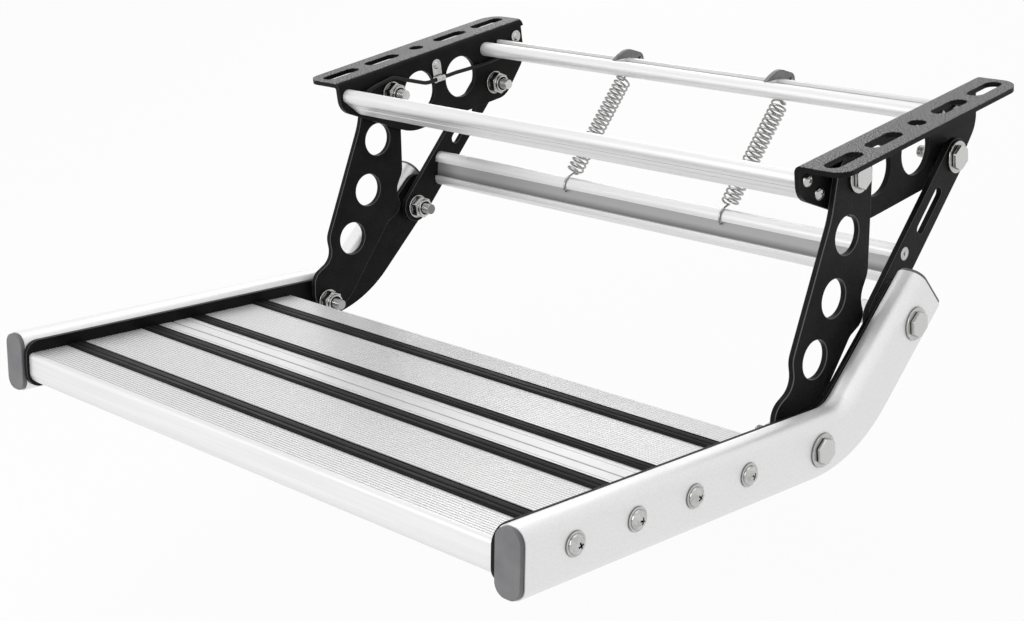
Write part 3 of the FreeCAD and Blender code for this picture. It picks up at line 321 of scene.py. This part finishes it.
def bar_metal(which):
    """Bar finish, with painted shade in grey down the channel and in a fine line beside the plain
    flat.
    """
    finish, tree, shader, place, colour = satin_aluminium(which + " bar metal", (0.02, 1, 1))
    y, z, angle = bars[which]
    over, up = cos(radians(angle)), sin(radians(angle))
    position = along_direction(tree, place, (over, up), y * over + z * up)
    height = along_direction(tree, place, (-up, over), z * over - y * up)
    channel = in_band(tree, calculate(tree, "ABSOLUTE", position), height, channel_shade_bands[which])
    line = in_band(tree, position, height, groove_shade_line)
    # The grey of the painted shade, darkest at one wall of the channel.
    grey = spread(tree, position, 0.16, 0.42, start=-0.0054, end=-0.0004)
    with_painted_shade = mixed(tree, calculate(tree, "MAXIMUM", channel, line), colour, grey)
    tree.links.new(with_painted_shade, shader.inputs["Base Color"])
    return finish


for which in bars:
    bar = eased(which + "_cross_bar", bar_metal(which), edge=0.0003)


# Bar screws: zinc-plated pan heads with a cross recess, two through each bracket web into
# the ports of a cross bar. The same head, larger, is used for the screws of the tread.
def painted_joint_shade(tree, shader, colour, reach, dark):
    """The colour on the shader, with painted shade where another surface stands within reach."""
    near = tree.nodes.new("ShaderNodeAmbientOcclusion")
    near.samples = 8
    near.inputs["Distance"].default_value = reach
    clear = spread(tree, near.outputs["AO"], 0, 1, start=0.25, end=0.85)
    tree.links.new(mixed(tree, clear, (dark, dark, dark), colour), shader.inputs["Base Color"])


def zinc_plate():
    """Bright and a little cloudy, with fine scratches, and painted shade where it meets other
    pieces.
    """
    finish, tree, shader, place = new_finish("zinc plated steel", (0.5, 0.5, 0.49), 1, 0.2)
    cloud = grain(tree, place, 260, 4, distortion=0.6)
    colour = tint(tree, cloud, (0.42, 0.42, 0.41), (0.58, 0.58, 0.57))
    painted_joint_shade(tree, shader, colour, 0.0018, 0.1)
    tree.links.new(spread(tree, cloud, 0.14, 0.26), shader.inputs["Roughness"])
    relief(tree, shader, grain(tree, place, 900, 2, (1, 0.15, 1)), 0.1, 0.0001)
    return finish


zinc = zinc_plate()


def select_faces_below(piece):
    """In edit mode, select only the faces that look down."""
    bpy.ops.mesh.select_mode(type="FACE")
    bpy.ops.mesh.select_all(action="DESELECT")
    bpy.ops.object.mode_set(mode="OBJECT")
    for face in piece.data.polygons:
        face.select = face.normal.z < -0.5
    bpy.ops.object.mode_set(mode="EDIT")


def join(pieces, name):
    """The pieces made one object, under a new name."""
    bpy.ops.object.select_all(action="DESELECT")
    for piece in pieces:
        piece.select_set(True)
    bpy.context.view_layer.objects.active = pieces[0]
    bpy.ops.object.join()
    pieces[0].name = name
    return pieces[0]


def cut_cross_recess(head, middle, blade_size, narrowing, thinning=0.5):
    """Cut a cross into a head with two crossed blades, narrower and thinner at the bottom."""
    for turn in (0, 90):
        bpy.ops.mesh.primitive_cube_add(size=1, location=(0, 0, middle))
        blade = bpy.context.object
        blade.scale = blade_size
        bpy.ops.object.transform_apply(location=True, rotation=False, scale=True)
        bpy.ops.object.mode_set(mode="EDIT")
        select_faces_below(blade)
        bpy.ops.transform.resize(value=(narrowing, thinning, 1), center_override=(0, 0, 0))
        bpy.ops.object.mode_set(mode="OBJECT")
        blade.data.transform(Matrix.Rotation(radians(turn), 4, "Z"))
        bpy.ops.object.select_all(action="DESELECT")
        head.select_set(True)
        bpy.context.view_layer.objects.active = head
        recess = head.modifiers.new("Recess", "BOOLEAN")
        recess.operation = "DIFFERENCE"
        recess.object = blade
        recess.solver = "EXACT"
        bpy.ops.object.modifier_apply(modifier=recess.name)
        bpy.data.objects.remove(blade)


def add_shank(head, top, radius, length, name):
    """The head joined to a plain shank that hangs from the height top."""
    bpy.ops.mesh.primitive_cylinder_add(vertices=24, radius=radius, depth=length,
                                        location=(0, 0, top - length / 2))
    shank = bpy.context.object
    bpy.ops.object.transform_apply(location=True, rotation=False, scale=False)
    screw = join([head, shank], name)
    bpy.ops.object.shade_smooth_by_angle(angle=radians(40))
    return screw


def pan_head_screw(radius, height, shank_radius, shank_length):
    """Along +Z from its seat at the origin: domed head, cross recess and plain shank."""
    buried, top_of_ball = height * 0.16, height / 0.86
    bpy.ops.object.select_all(action="DESELECT")
    bpy.ops.mesh.primitive_uv_sphere_add(segments=40, ring_count=24, radius=radius)
    head = bpy.context.object
    bpy.ops.object.mode_set(mode="EDIT")
    bpy.ops.transform.resize(value=(1, 1, top_of_ball / radius))
    bpy.ops.mesh.bisect(plane_co=(0, 0, buried), plane_no=(0, 0, 1), use_fill=True,
                        clear_inner=True)
    bpy.ops.mesh.select_all(action="SELECT")
    bpy.ops.transform.translate(value=(0, 0, -buried))
    bpy.ops.object.mode_set(mode="OBJECT")
    blade_size = (radius * 1.1, radius * 0.26, height * 1.3)
    cut_cross_recess(head, height, blade_size, narrowing=0.35)
    return add_shank(head, 0, shank_radius, shank_length, "pan head screw")


def fit(master, places, name, body, replaced, finish):
    """Copies of a master along X at (x, y, z, spin) places on both sides, as one piece."""
    copies = []
    for x, y, z, spin in places:
        for side in (1, -1):
            twin = bpy.data.objects.new(name, master.data.copy())
            bpy.context.scene.collection.objects.link(twin)
            outward = Matrix.Rotation(radians(90 * side), 4, "Y")
            twin.data.transform(Matrix.Translation((x * side, y, z)) @ outward
                                @ Matrix.Rotation(radians(spin * side), 4, "Z"))
            copies.append(twin)
    piece = join(copies, name)
    bpy.data.objects.remove(master)
    piece.data.materials.clear()
    piece.data.materials.append(finish)
    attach(piece, body)
    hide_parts(replaced)


web_outer = 0.208
for which, spins in (("front", (20, 65)), ("rear", (38, 5))):
    fit(pan_head_screw(radius=0.0043, height=0.0026, shank_radius=0.0022, shank_length=0.015),
        [(web_outer, y, z, spin) for (y, z), spin in zip(ports(which), spins)],
        which + "_bar_screw_heads", "brackets", which + "_bar_screws", zinc)


# Arms: levers cut from 4 mm steel sheet and powder coated like the brackets. The front
# pair is broad, with three round windows; the rear pair is a straight link with a slot.
for name in ("left_front_arm", "right_front_arm", "left_rear_arm", "right_rear_arm"):
    arm = eased(name, powder, edge=0.0006, steps=3)


# Lower bar screws: countersunk screws with a cross recess, flush in the rear arms, two a
# side into the ports of the lower cross bar.
def countersunk_screw(radius, height, shank_radius, shank_length):
    """Along +Z, its flat top at the origin: coned head, cross recess and plain shank."""
    bpy.ops.object.select_all(action="DESELECT")
    bpy.ops.mesh.primitive_cone_add(vertices=40, radius1=shank_radius, radius2=radius, depth=height,
                                    location=(0, 0, -height / 2))
    head = bpy.context.object
    bpy.ops.object.transform_apply(location=True, rotation=False, scale=False)
    blade_size = (radius * 1.15, radius * 0.26, height * 1.2)
    cut_cross_recess(head, 0, blade_size, narrowing=0.3)
    return add_shank(head, -height, shank_radius, shank_length, "countersunk screw")


arm_outer = 0.2151
fit(countersunk_screw(radius=0.00425, height=0.0026, shank_radius=0.00235, shank_length=0.014),
    [(arm_outer, y, z, spin) for (y, z), spin in zip(ports("lower"), (40, 70))],
    "lower_bar_screw_heads", "rear_arms", "lower_bar_screws", zinc)


# Step rails: round-cornered aluminium tube, bent upwards behind the tread, with a black
# plate along its inner side and moulded grey caps pushed into both ends.
def rail_metal():
    """Rail finish, brighter than the bars and without a drawn grain, with painted shade at its
    joints.
    """
    finish, tree, shader, place, colour = satin_aluminium("satin anodised rail", (2, 2, 2), 0.9)
    painted_joint_shade(tree, shader, colour, 0.0012, 0.2)
    return finish


rail_finish = rail_metal()
for name in ("left_rail", "right_rail"):
    rail = eased(name, rail_finish, smooth=35)
for name in ("left_rail_plate", "right_rail_plate"):
    plate = eased(name, powder, edge=0.0005, steps=3)


def cap_plastic():
    """Moulded mid-grey plastic with a fine, even grain."""
    finish, tree, shader, place = new_finish("grey cap plastic", (0.16, 0.16, 0.165), 0, 0.5)
    shader.inputs["Specular IOR Level"].default_value = 0.35
    cloud = grain(tree, place, 90, 3)
    colour = tint(tree, cloud, (0.145, 0.145, 0.15), (0.18, 0.18, 0.185))
    tree.links.new(colour, shader.inputs["Base Color"])
    spark = grain(tree, place, 2200, 2)
    tree.links.new(spread(tree, spark, 0.42, 0.58), shader.inputs["Roughness"])
    relief(tree, shader, spark, 0.25, 0.00012)
    return finish


cap_finish = cap_plastic()
for end, edge in (("front", 0.0009), ("rear", 0.0004)):
    for side in ("left", "right"):
        cap = eased(f"{side}_{end}_end_cap", cap_finish, edge, steps=3)


# Tread: two hollow planks of anodised aluminium with fine ribs along their tops, screwed
# between the rails, and four black rubber strips pushed into grooves for grip.
tread_top = -0.173441
tread_tilt = radians(-10)
ribs_start, ribs_length = -0.3508, 0.3


def ribbed_metal():
    """Tread finish, its ribbed top darkened with painted shade, and most of all at the bottoms of
    its grooves.
    """
    finish, tree, shader, place, colour = satin_aluminium(
        "satin anodised tread", (0.02, 1, 1), drawn=0.015)
    height = along_direction(tree, place, (-sin(tread_tilt), cos(tread_tilt)), tread_top)
    run = along_direction(tree, place, (cos(tread_tilt), sin(tread_tilt)), ribs_start)
    ribbed = within(tree, run, ribs_length / 2, ribs_length / 2)
    # Painted shade: the ribbed top a little darker than the front faces, and darker still down in
    # the grooves.
    for middle, reach, shade in ((0, 0.0011, 0.76), (-0.0006, 0.00045, 0.4)):
        painted_shade_layer = both(tree, ribbed, within(tree, height, middle, reach))
        colour = mixed(tree, painted_shade_layer, colour, (shade, shade, shade))
    tree.links.new(colour, shader.inputs["Base Color"])
    return finish


tread_finish = ribbed_metal()
for name in ("front_tread_plank", "rear_tread_plank"):
    plank = eased(name, tread_finish, smooth=25)


def strip_rubber():
    """Black rubber with faint lines along the strip, and painted shade darkest down in its grooves.
    """
    finish, tree, shader, place = new_finish("black strip rubber", (0.008, 0.008, 0.008), 0, 0.45)
    shader.inputs["Specular IOR Level"].default_value = 0.09
    colour = tint(tree, grain(tree, place, 35, 5), (0.006, 0.006, 0.006), (0.014, 0.014, 0.014))
    painted_joint_shade(tree, shader, colour, 0.002, 0.001)
    flow = grain(tree, place, 700, 3, (0.04, 1, 1))
    tree.links.new(spread(tree, flow, 0.35, 0.55), shader.inputs["Roughness"])
    relief(tree, shader, flow, 0.2, 0.00015)
    return finish


rubber = strip_rubber()
tread_half = 0.2185
strip_height, strip_middle = 0.003, tread_top - 0.0004
groove_half, groove_depth = 0.0007, 0.0012
rim_width, middle_offset = 0.0013, 0.0006
# Each strip's place along the tread, in the tread's own turned frame, and its width.
strips = ((-0.319267, 0.0125), (-0.259267, 0.0125), (-0.218867, 0.010), (-0.162767, 0.0125))
for number, (run, width) in enumerate(strips, 1):
    bpy.ops.object.select_all(action="DESELECT")
    bpy.ops.mesh.primitive_cube_add(size=1, location=(0, run, strip_middle))
    strip = bpy.context.object
    strip.scale = (tread_half * 2, width, strip_height)
    bpy.ops.object.transform_apply(location=True, rotation=False, scale=True)
    outermost = width / 2 - rim_width
    grooves = (run - outermost, run - middle_offset, run + outermost)
    bpy.ops.object.mode_set(mode="EDIT")
    for groove in grooves:
        for offset in (-groove_half, 0, groove_half):
            bpy.ops.mesh.select_all(action="SELECT")
            bpy.ops.mesh.bisect(plane_co=(0, groove + offset, 0), plane_no=(0, 1, 0))
    bpy.ops.mesh.select_mode(type="VERT")
    bpy.ops.mesh.select_all(action="DESELECT")
    bpy.ops.object.mode_set(mode="OBJECT")
    for vertex in strip.data.vertices:
        on_top = vertex.co.z > tread_top
        vertex.select = on_top and any(abs(vertex.co.y - groove) < 0.0001 for groove in grooves)
    bpy.ops.object.mode_set(mode="EDIT")
    bpy.ops.transform.translate(value=(0, 0, -groove_depth))
    bpy.ops.object.mode_set(mode="OBJECT")
    ease_corners(strip, width=0.0003, steps=2)
    bpy.ops.object.shade_smooth_by_angle(angle=radians(50))
    strip.data.transform(Matrix.Rotation(tread_tilt, 4, "X"))
    strip.name = f"ribbed_grip_strip_{number}"
    strip.data.materials.append(rubber)
    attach(strip, "step")
    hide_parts(f"grip_strip_{number}")


# Tread screws: four pan heads a side, each over a plain washer, through the rail and its
# plate into the screw ports of the planks.
# The seat is where the heads lie on the washers; the rise and the runs are in the tread's
# own turned frame.
screw_seat, screw_rise = 0.2427, -0.178441
first_screw, screw_spacing = -0.318967, 0.0481
screw_places = []
for index, spin in enumerate((12, 70, 35, 58)):
    run = first_screw + screw_spacing * index
    y = run * cos(tread_tilt) - screw_rise * sin(tread_tilt)
    z = screw_rise * cos(tread_tilt) + run * sin(tread_tilt)
    screw_places.append((screw_seat, y, z, spin))
fit(pan_head_screw(radius=0.0058, height=0.0034, shank_radius=0.003, shank_length=0.045),
    screw_places, "tread_screw_heads", "step", "tread_screws", zinc)
washers = eased("tread_screw_washers", zinc, edge=0.0003)


# Pivot hardware: M10 bolts with low hexagon heads, washers, spacers between the sheets and
# locking nuts inside, all zinc plated. The bolts' ends show their thread inside the webs.
def threaded_zinc():
    """Zinc with a thread on all that lies inboard of the webs, its roots in painted shade, and
    plain outside them; painted shade also where another surface stands near.
    """
    finish, tree, shader, place = new_finish("zinc plated thread", (0.45, 0.45, 0.44), 1, 0.2)
    half_pitch, thread_reach = 0.0006, 0.2035
    split = tree.nodes.new("ShaderNodeSeparateXYZ")
    tree.links.new(place, split.inputs[0])
    across = split.outputs["X"]
    climb = calculate(tree, "PINGPONG", across, half_pitch)
    crest = spread(tree, climb, 0, 1, start=0, end=half_pitch)
    plain = calculate(tree, "SUBTRACT", 1, within(tree, across, 0, thread_reach))
    height = calculate(tree, "MAXIMUM", crest, plain)
    # The thread's roots are painted dark as shade.
    colour = tint(tree, height, (0.2, 0.2, 0.2), (0.58, 0.58, 0.57), start=0.1, end=0.6)
    painted_joint_shade(tree, shader, colour, 0.0018, 0.1)
    cloud = grain(tree, place, 260, 4, distortion=0.6)
    tree.links.new(spread(tree, cloud, 0.14, 0.28), shader.inputs["Roughness"])
    relief(tree, shader, height, 0.8, 0.0005)
    return finish


def draw_out_tips(bolts):
    """Lengthen the inner ends of a pair of bolts, and taper them about their common axis."""
    tip_depth, longer, narrower = 0.0016, 0.004, 0.78
    low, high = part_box(bolts.name.removesuffix("_finished"))
    axis = (0, (low[1] + high[1]) / 2, (low[2] + high[2]) / 2)
    tip = min(abs(vertex.co.x) for vertex in bolts.data.vertices)
    bpy.ops.object.mode_set(mode="EDIT")
    bpy.ops.mesh.select_mode(type="VERT")
    bpy.ops.mesh.select_all(action="DESELECT")
    bpy.ops.object.mode_set(mode="OBJECT")
    for vertex in bolts.data.vertices:
        vertex.select = abs(vertex.co.x) < tip + tip_depth
    bpy.ops.object.mode_set(mode="EDIT")
    bpy.ops.transform.resize(value=(1 - longer / tip, narrower, narrower), center_override=axis)
    bpy.ops.object.mode_set(mode="OBJECT")


thread_metal = threaded_zinc()
for pivot in ("front", "rear", "tread", "link"):
    kinds = ("bolts", "nuts", "washers", "spacers")
    if pivot == "link":
        kinds += ("studs", "nut_washers")
    for kind in kinds:
        edge = {"bolts": 0.0017, "nuts": 0.0008}.get(kind, 0.0004)
        metal = thread_metal if kind in ("bolts", "studs") else zinc
        hardware = eased(f"{pivot}_pivot_{kind}", metal, edge, steps=3)
        if kind in ("bolts", "studs") and (pivot, kind) != ("link", "bolts"):
            draw_out_tips(hardware)


# Spring hangers: two hooked plates of grey plated steel sheet, seated round the back of
# the rear cross bar.
def grey_plate():
    """Dull grey plating with a fine cloud in it."""
    finish, tree, shader, place = new_finish("grey hanger plate", (0.19, 0.19, 0.19), 0.4, 0.42)
    cloud = grain(tree, place, 240, 4)
    colour = tint(tree, cloud, (0.15, 0.15, 0.15), (0.23, 0.23, 0.23))
    tree.links.new(colour, shader.inputs["Base Color"])
    tree.links.new(spread(tree, cloud, 0.38, 0.55), shader.inputs["Roughness"])
    relief(tree, shader, cloud, 0.15, 0.0001)
    return finish


hanger_finish = grey_plate()
for name in ("left_spring_hanger", "right_spring_hanger"):
    hanger = eased(name, hanger_finish, edge=0.0005, steps=3)


# Springs: bright drawn wire wound into open coils, with a straight neck turned through the
# hanger's hole and a hook that rounds the lower bar's edge and ends in its channel.
def spring_wire_finish():
    """Drawn wire, its tone and its gloss a little uneven."""
    finish, tree, shader, place = new_finish("bright spring wire", (0.5, 0.5, 0.49), 1, 0.2)
    draw = grain(tree, place, 800, 2)
    colour = tint(tree, draw, (0.26, 0.26, 0.26), (0.52, 0.52, 0.51))
    tree.links.new(colour, shader.inputs["Base Color"])
    tree.links.new(spread(tree, draw, 0.16, 0.3), shader.inputs["Roughness"])
    relief(tree, shader, draw, 0.1, 0.00008)
    return finish


spring_finish = spring_wire_finish()
spring_side = 0.072
hanger_hole = (0.0814, -0.0129)
wire = 0.00075
coil, turns, points_a_turn, points_to_ease = 0.0056, 22, 18, 8
pin_length, neck_bend, neck_start, neck_to_coil = 0.0055, 0.0014, 0.006, 0.003
hook_gap, hook_aim = 0.0085, 0.0024
bar_round, hook_clearance = 0.00525, 0.0001
hook = bar_round + wire + hook_clearance
hook_drop, tip_bend, tip_length = 0.0025 + wire, 0.0012, 0.0014
bend_steps, hook_steps, tip_steps = 6, 12, 4
port_y, port_z = ports("lower")[1]
reach_y, reach_z = port_y - hanger_hole[0], port_z - hanger_hole[1]
spring_angle = atan2(reach_z, reach_y) - asin(hook_aim / hypot(reach_y, reach_z))
port_run = (hypot(reach_y, reach_z) ** 2 - hook_aim ** 2) ** 0.5
coil_start, coil_end = 0.0192, port_run - hook_gap
slant = atan2(hook_aim, hook_gap) - asin(hook / hypot(hook_gap, hook_aim))
wrap = radians(bars["lower"][2]) - spring_angle - pi


def spring_line():
    """The wire's middle from the hanger to the hook, as (across, along, up) points."""
    line = [(-pin_length, 0, 0), (-neck_bend, 0, 0)]
    for step in range(1, bend_steps + 1):
        turn = step / bend_steps * pi / 2
        line.append((-neck_bend + neck_bend * sin(turn), neck_bend - neck_bend * cos(turn), 0))
    line += [(0, neck_start, 0), (0, coil_start - neck_to_coil, 0)]
    count = turns * points_a_turn
    for step in range(count + 1):
        turn = step / points_a_turn * tau
        ease = min(1, step / points_to_ease, (count - step) / points_to_ease)
        radius = coil * sin(ease * pi / 2)
        along = coil_start + (coil_end - coil_start) * step / count
        line.append((radius * sin(turn), along, radius * cos(turn)))
    for step in range(hook_steps + 1):
        turn = slant + (wrap - slant) * step / hook_steps
        line.append((0, port_run + hook * sin(turn), hook_aim - hook * cos(turn)))
    along, up = line[-1][1:]
    along, up = along + hook_drop * cos(wrap), up + hook_drop * sin(wrap)
    line.append((0, along, up))
    for step in range(1, tip_steps + 1):
        turn = wrap + step / tip_steps * pi / 2
        line.append((0, along + tip_bend * (sin(turn) - sin(wrap)),
                     up - tip_bend * (cos(turn) - cos(wrap))))
    along, up = line[-1][1:]
    line.append((0, along - tip_length * sin(wrap), up + tip_length * cos(wrap)))
    return line


for side, name in ((1, "right_spring"), (-1, "left_spring")):
    line = spring_line()
    route = bpy.data.curves.new(name + "_route", "CURVE")
    route.dimensions = "3D"
    spline = route.splines.new("POLY")
    spline.points.add(len(line) - 1)
    for point, (across, along, up) in zip(spline.points, line):
        y = hanger_hole[0] + along * cos(spring_angle) - up * sin(spring_angle)
        z = hanger_hole[1] + along * sin(spring_angle) + up * cos(spring_angle)
        point.co = (side * (spring_side + across), y, z, 1)
    route.bevel_depth = wire
    route.bevel_resolution = 3
    route.use_fill_caps = True
    spring = bpy.data.objects.new(name + "_wound", route)
    bpy.context.scene.collection.objects.link(spring)
    bpy.ops.object.select_all(action="DESELECT")
    spring.select_set(True)
    bpy.context.view_layer.objects.active = spring
    bpy.ops.object.convert(target="MESH")
    spring = bpy.context.object
    bpy.ops.object.shade_smooth_by_angle(angle=radians(60))
    spring.data.materials.append(spring_finish)
    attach(spring, "springs")
    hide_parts(name)
    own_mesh(spring)


# Cable: a thin black lead along the inside of the left web, held by a rolled sheet clip
# under a pop rivet, and crimped into an eye under a second rivet at its rear end.
def cable_plastic():
    """Smooth black jacket with a slight gloss."""
    finish, tree, shader, place = new_finish("cable jacket", (0.008, 0.008, 0.008), 0, 0.4)
    shader.inputs["Specular IOR Level"].default_value = 0.2
    skin = grain(tree, place, 1200, 2)
    colour = tint(tree, skin, (0.006, 0.006, 0.006), (0.011, 0.011, 0.011))
    tree.links.new(colour, shader.inputs["Base Color"])
    tree.links.new(spread(tree, skin, 0.3, 0.45), shader.inputs["Roughness"])
    relief(tree, shader, skin, 0.1, 0.0001)
    return finish


cable = eased("cable", cable_plastic(), smooth=60)
for name in ("cable_clip", "cable_lug", "cable_clip_rivet", "cable_lug_rivet"):
    fitting = eased(name, zinc, edge=0.0002)


# Studio: a plain pale floor well under the step, a white surround, large soft lamps above
# and in front, and two smaller ones behind, which draw the edges of the black steel.
def seen_or_mirrored(tree):
    """1 for a ray that shows the surface, straight, in a gloss or through glass, else 0."""
    path = tree.nodes.new("ShaderNodeLightPath")
    seen = calculate(tree, "MAXIMUM", path.outputs["Is Camera Ray"], path.outputs["Is Glossy Ray"])
    return calculate(tree, "MAXIMUM", seen, path.outputs["Is Transmission Ray"])


def mix_shaders(tree, share, first, second, output):
    """On the output, the first shader where the share is 0 and the second where it is 1."""
    mix = tree.nodes.new("ShaderNodeMixShader")
    tree.links.new(share, mix.inputs["Fac"])
    tree.links.new(first.outputs[0], mix.inputs[1])
    tree.links.new(second.outputs[0], mix.inputs[2])
    tree.links.new(mix.outputs[0], tree.nodes[output].inputs["Surface"])


floor_drop, floor_glow = 0.12, 0.92
bpy.ops.object.select_all(action="DESELECT")
bpy.ops.mesh.primitive_plane_add(size=30, location=(0, 0, cad_box[0][2] - floor_drop))
floor = bpy.context.object
floor.name = "floor"
finish = bpy.data.materials.new("pale floor")
finish.use_nodes = True
tree = finish.node_tree
shader = tree.nodes["Principled BSDF"]
shader.inputs["Base Color"].default_value = (0.85, 0.85, 0.85, 1)
shader.inputs["Roughness"].default_value = 0.9
glow = tree.nodes.new("ShaderNodeEmission")
glow.inputs["Color"].default_value = (1, 1, 1, 1)
glow.inputs["Strength"].default_value = 1
share = calculate(tree, "MULTIPLY", seen_or_mirrored(tree), floor_glow)
mix_shaders(tree, share, shader, glow, "Material Output")
floor.data.materials.append(finish)

world = bpy.data.worlds.new("white surround")
bpy.context.scene.world = world
world.use_nodes = True
tree = world.node_tree
light = tree.nodes["Background"]
white = tree.nodes.new("ShaderNodeBackground")
for background, strength in ((light, 0.6), (white, 1)):
    background.inputs["Color"].default_value = (1, 1, 1, 1)
    background.inputs["Strength"].default_value = strength
mix_shaders(tree, seen_or_mirrored(tree), light, white, "World Output")


def lamp(name, place, aim_at, size, power):
    """A square soft lamp, turned to the point that it aims at."""
    bpy.ops.object.select_all(action="DESELECT")
    bpy.ops.object.light_add(type="AREA", location=place)
    softbox = bpy.context.object
    softbox.name = name
    softbox.data.shape = "SQUARE"
    softbox.data.size = size
    softbox.data.energy = power
    softbox.rotation_euler = (Vector(place) - Vector(aim_at)).to_track_quat("Z", "Y").to_euler()


lamp("overhead", (-0.2, 0.2, 1.7), (0, -0.1, -0.1), size=1.6, power=5)
lamp("front", (-0.2, -1.9, 0.8), (0, -0.1, -0.1), size=1.2, power=17)
lamp("back", (-1.3, 1.4, 0.65), (0, 0, 0), size=0.6, power=3.5)
lamp("edge", (-0.6, 1.1, 1.5), (0, 0, -0.1), size=0.15, power=0.8)

bpy.context.scene.view_settings.view_transform = "Standard"
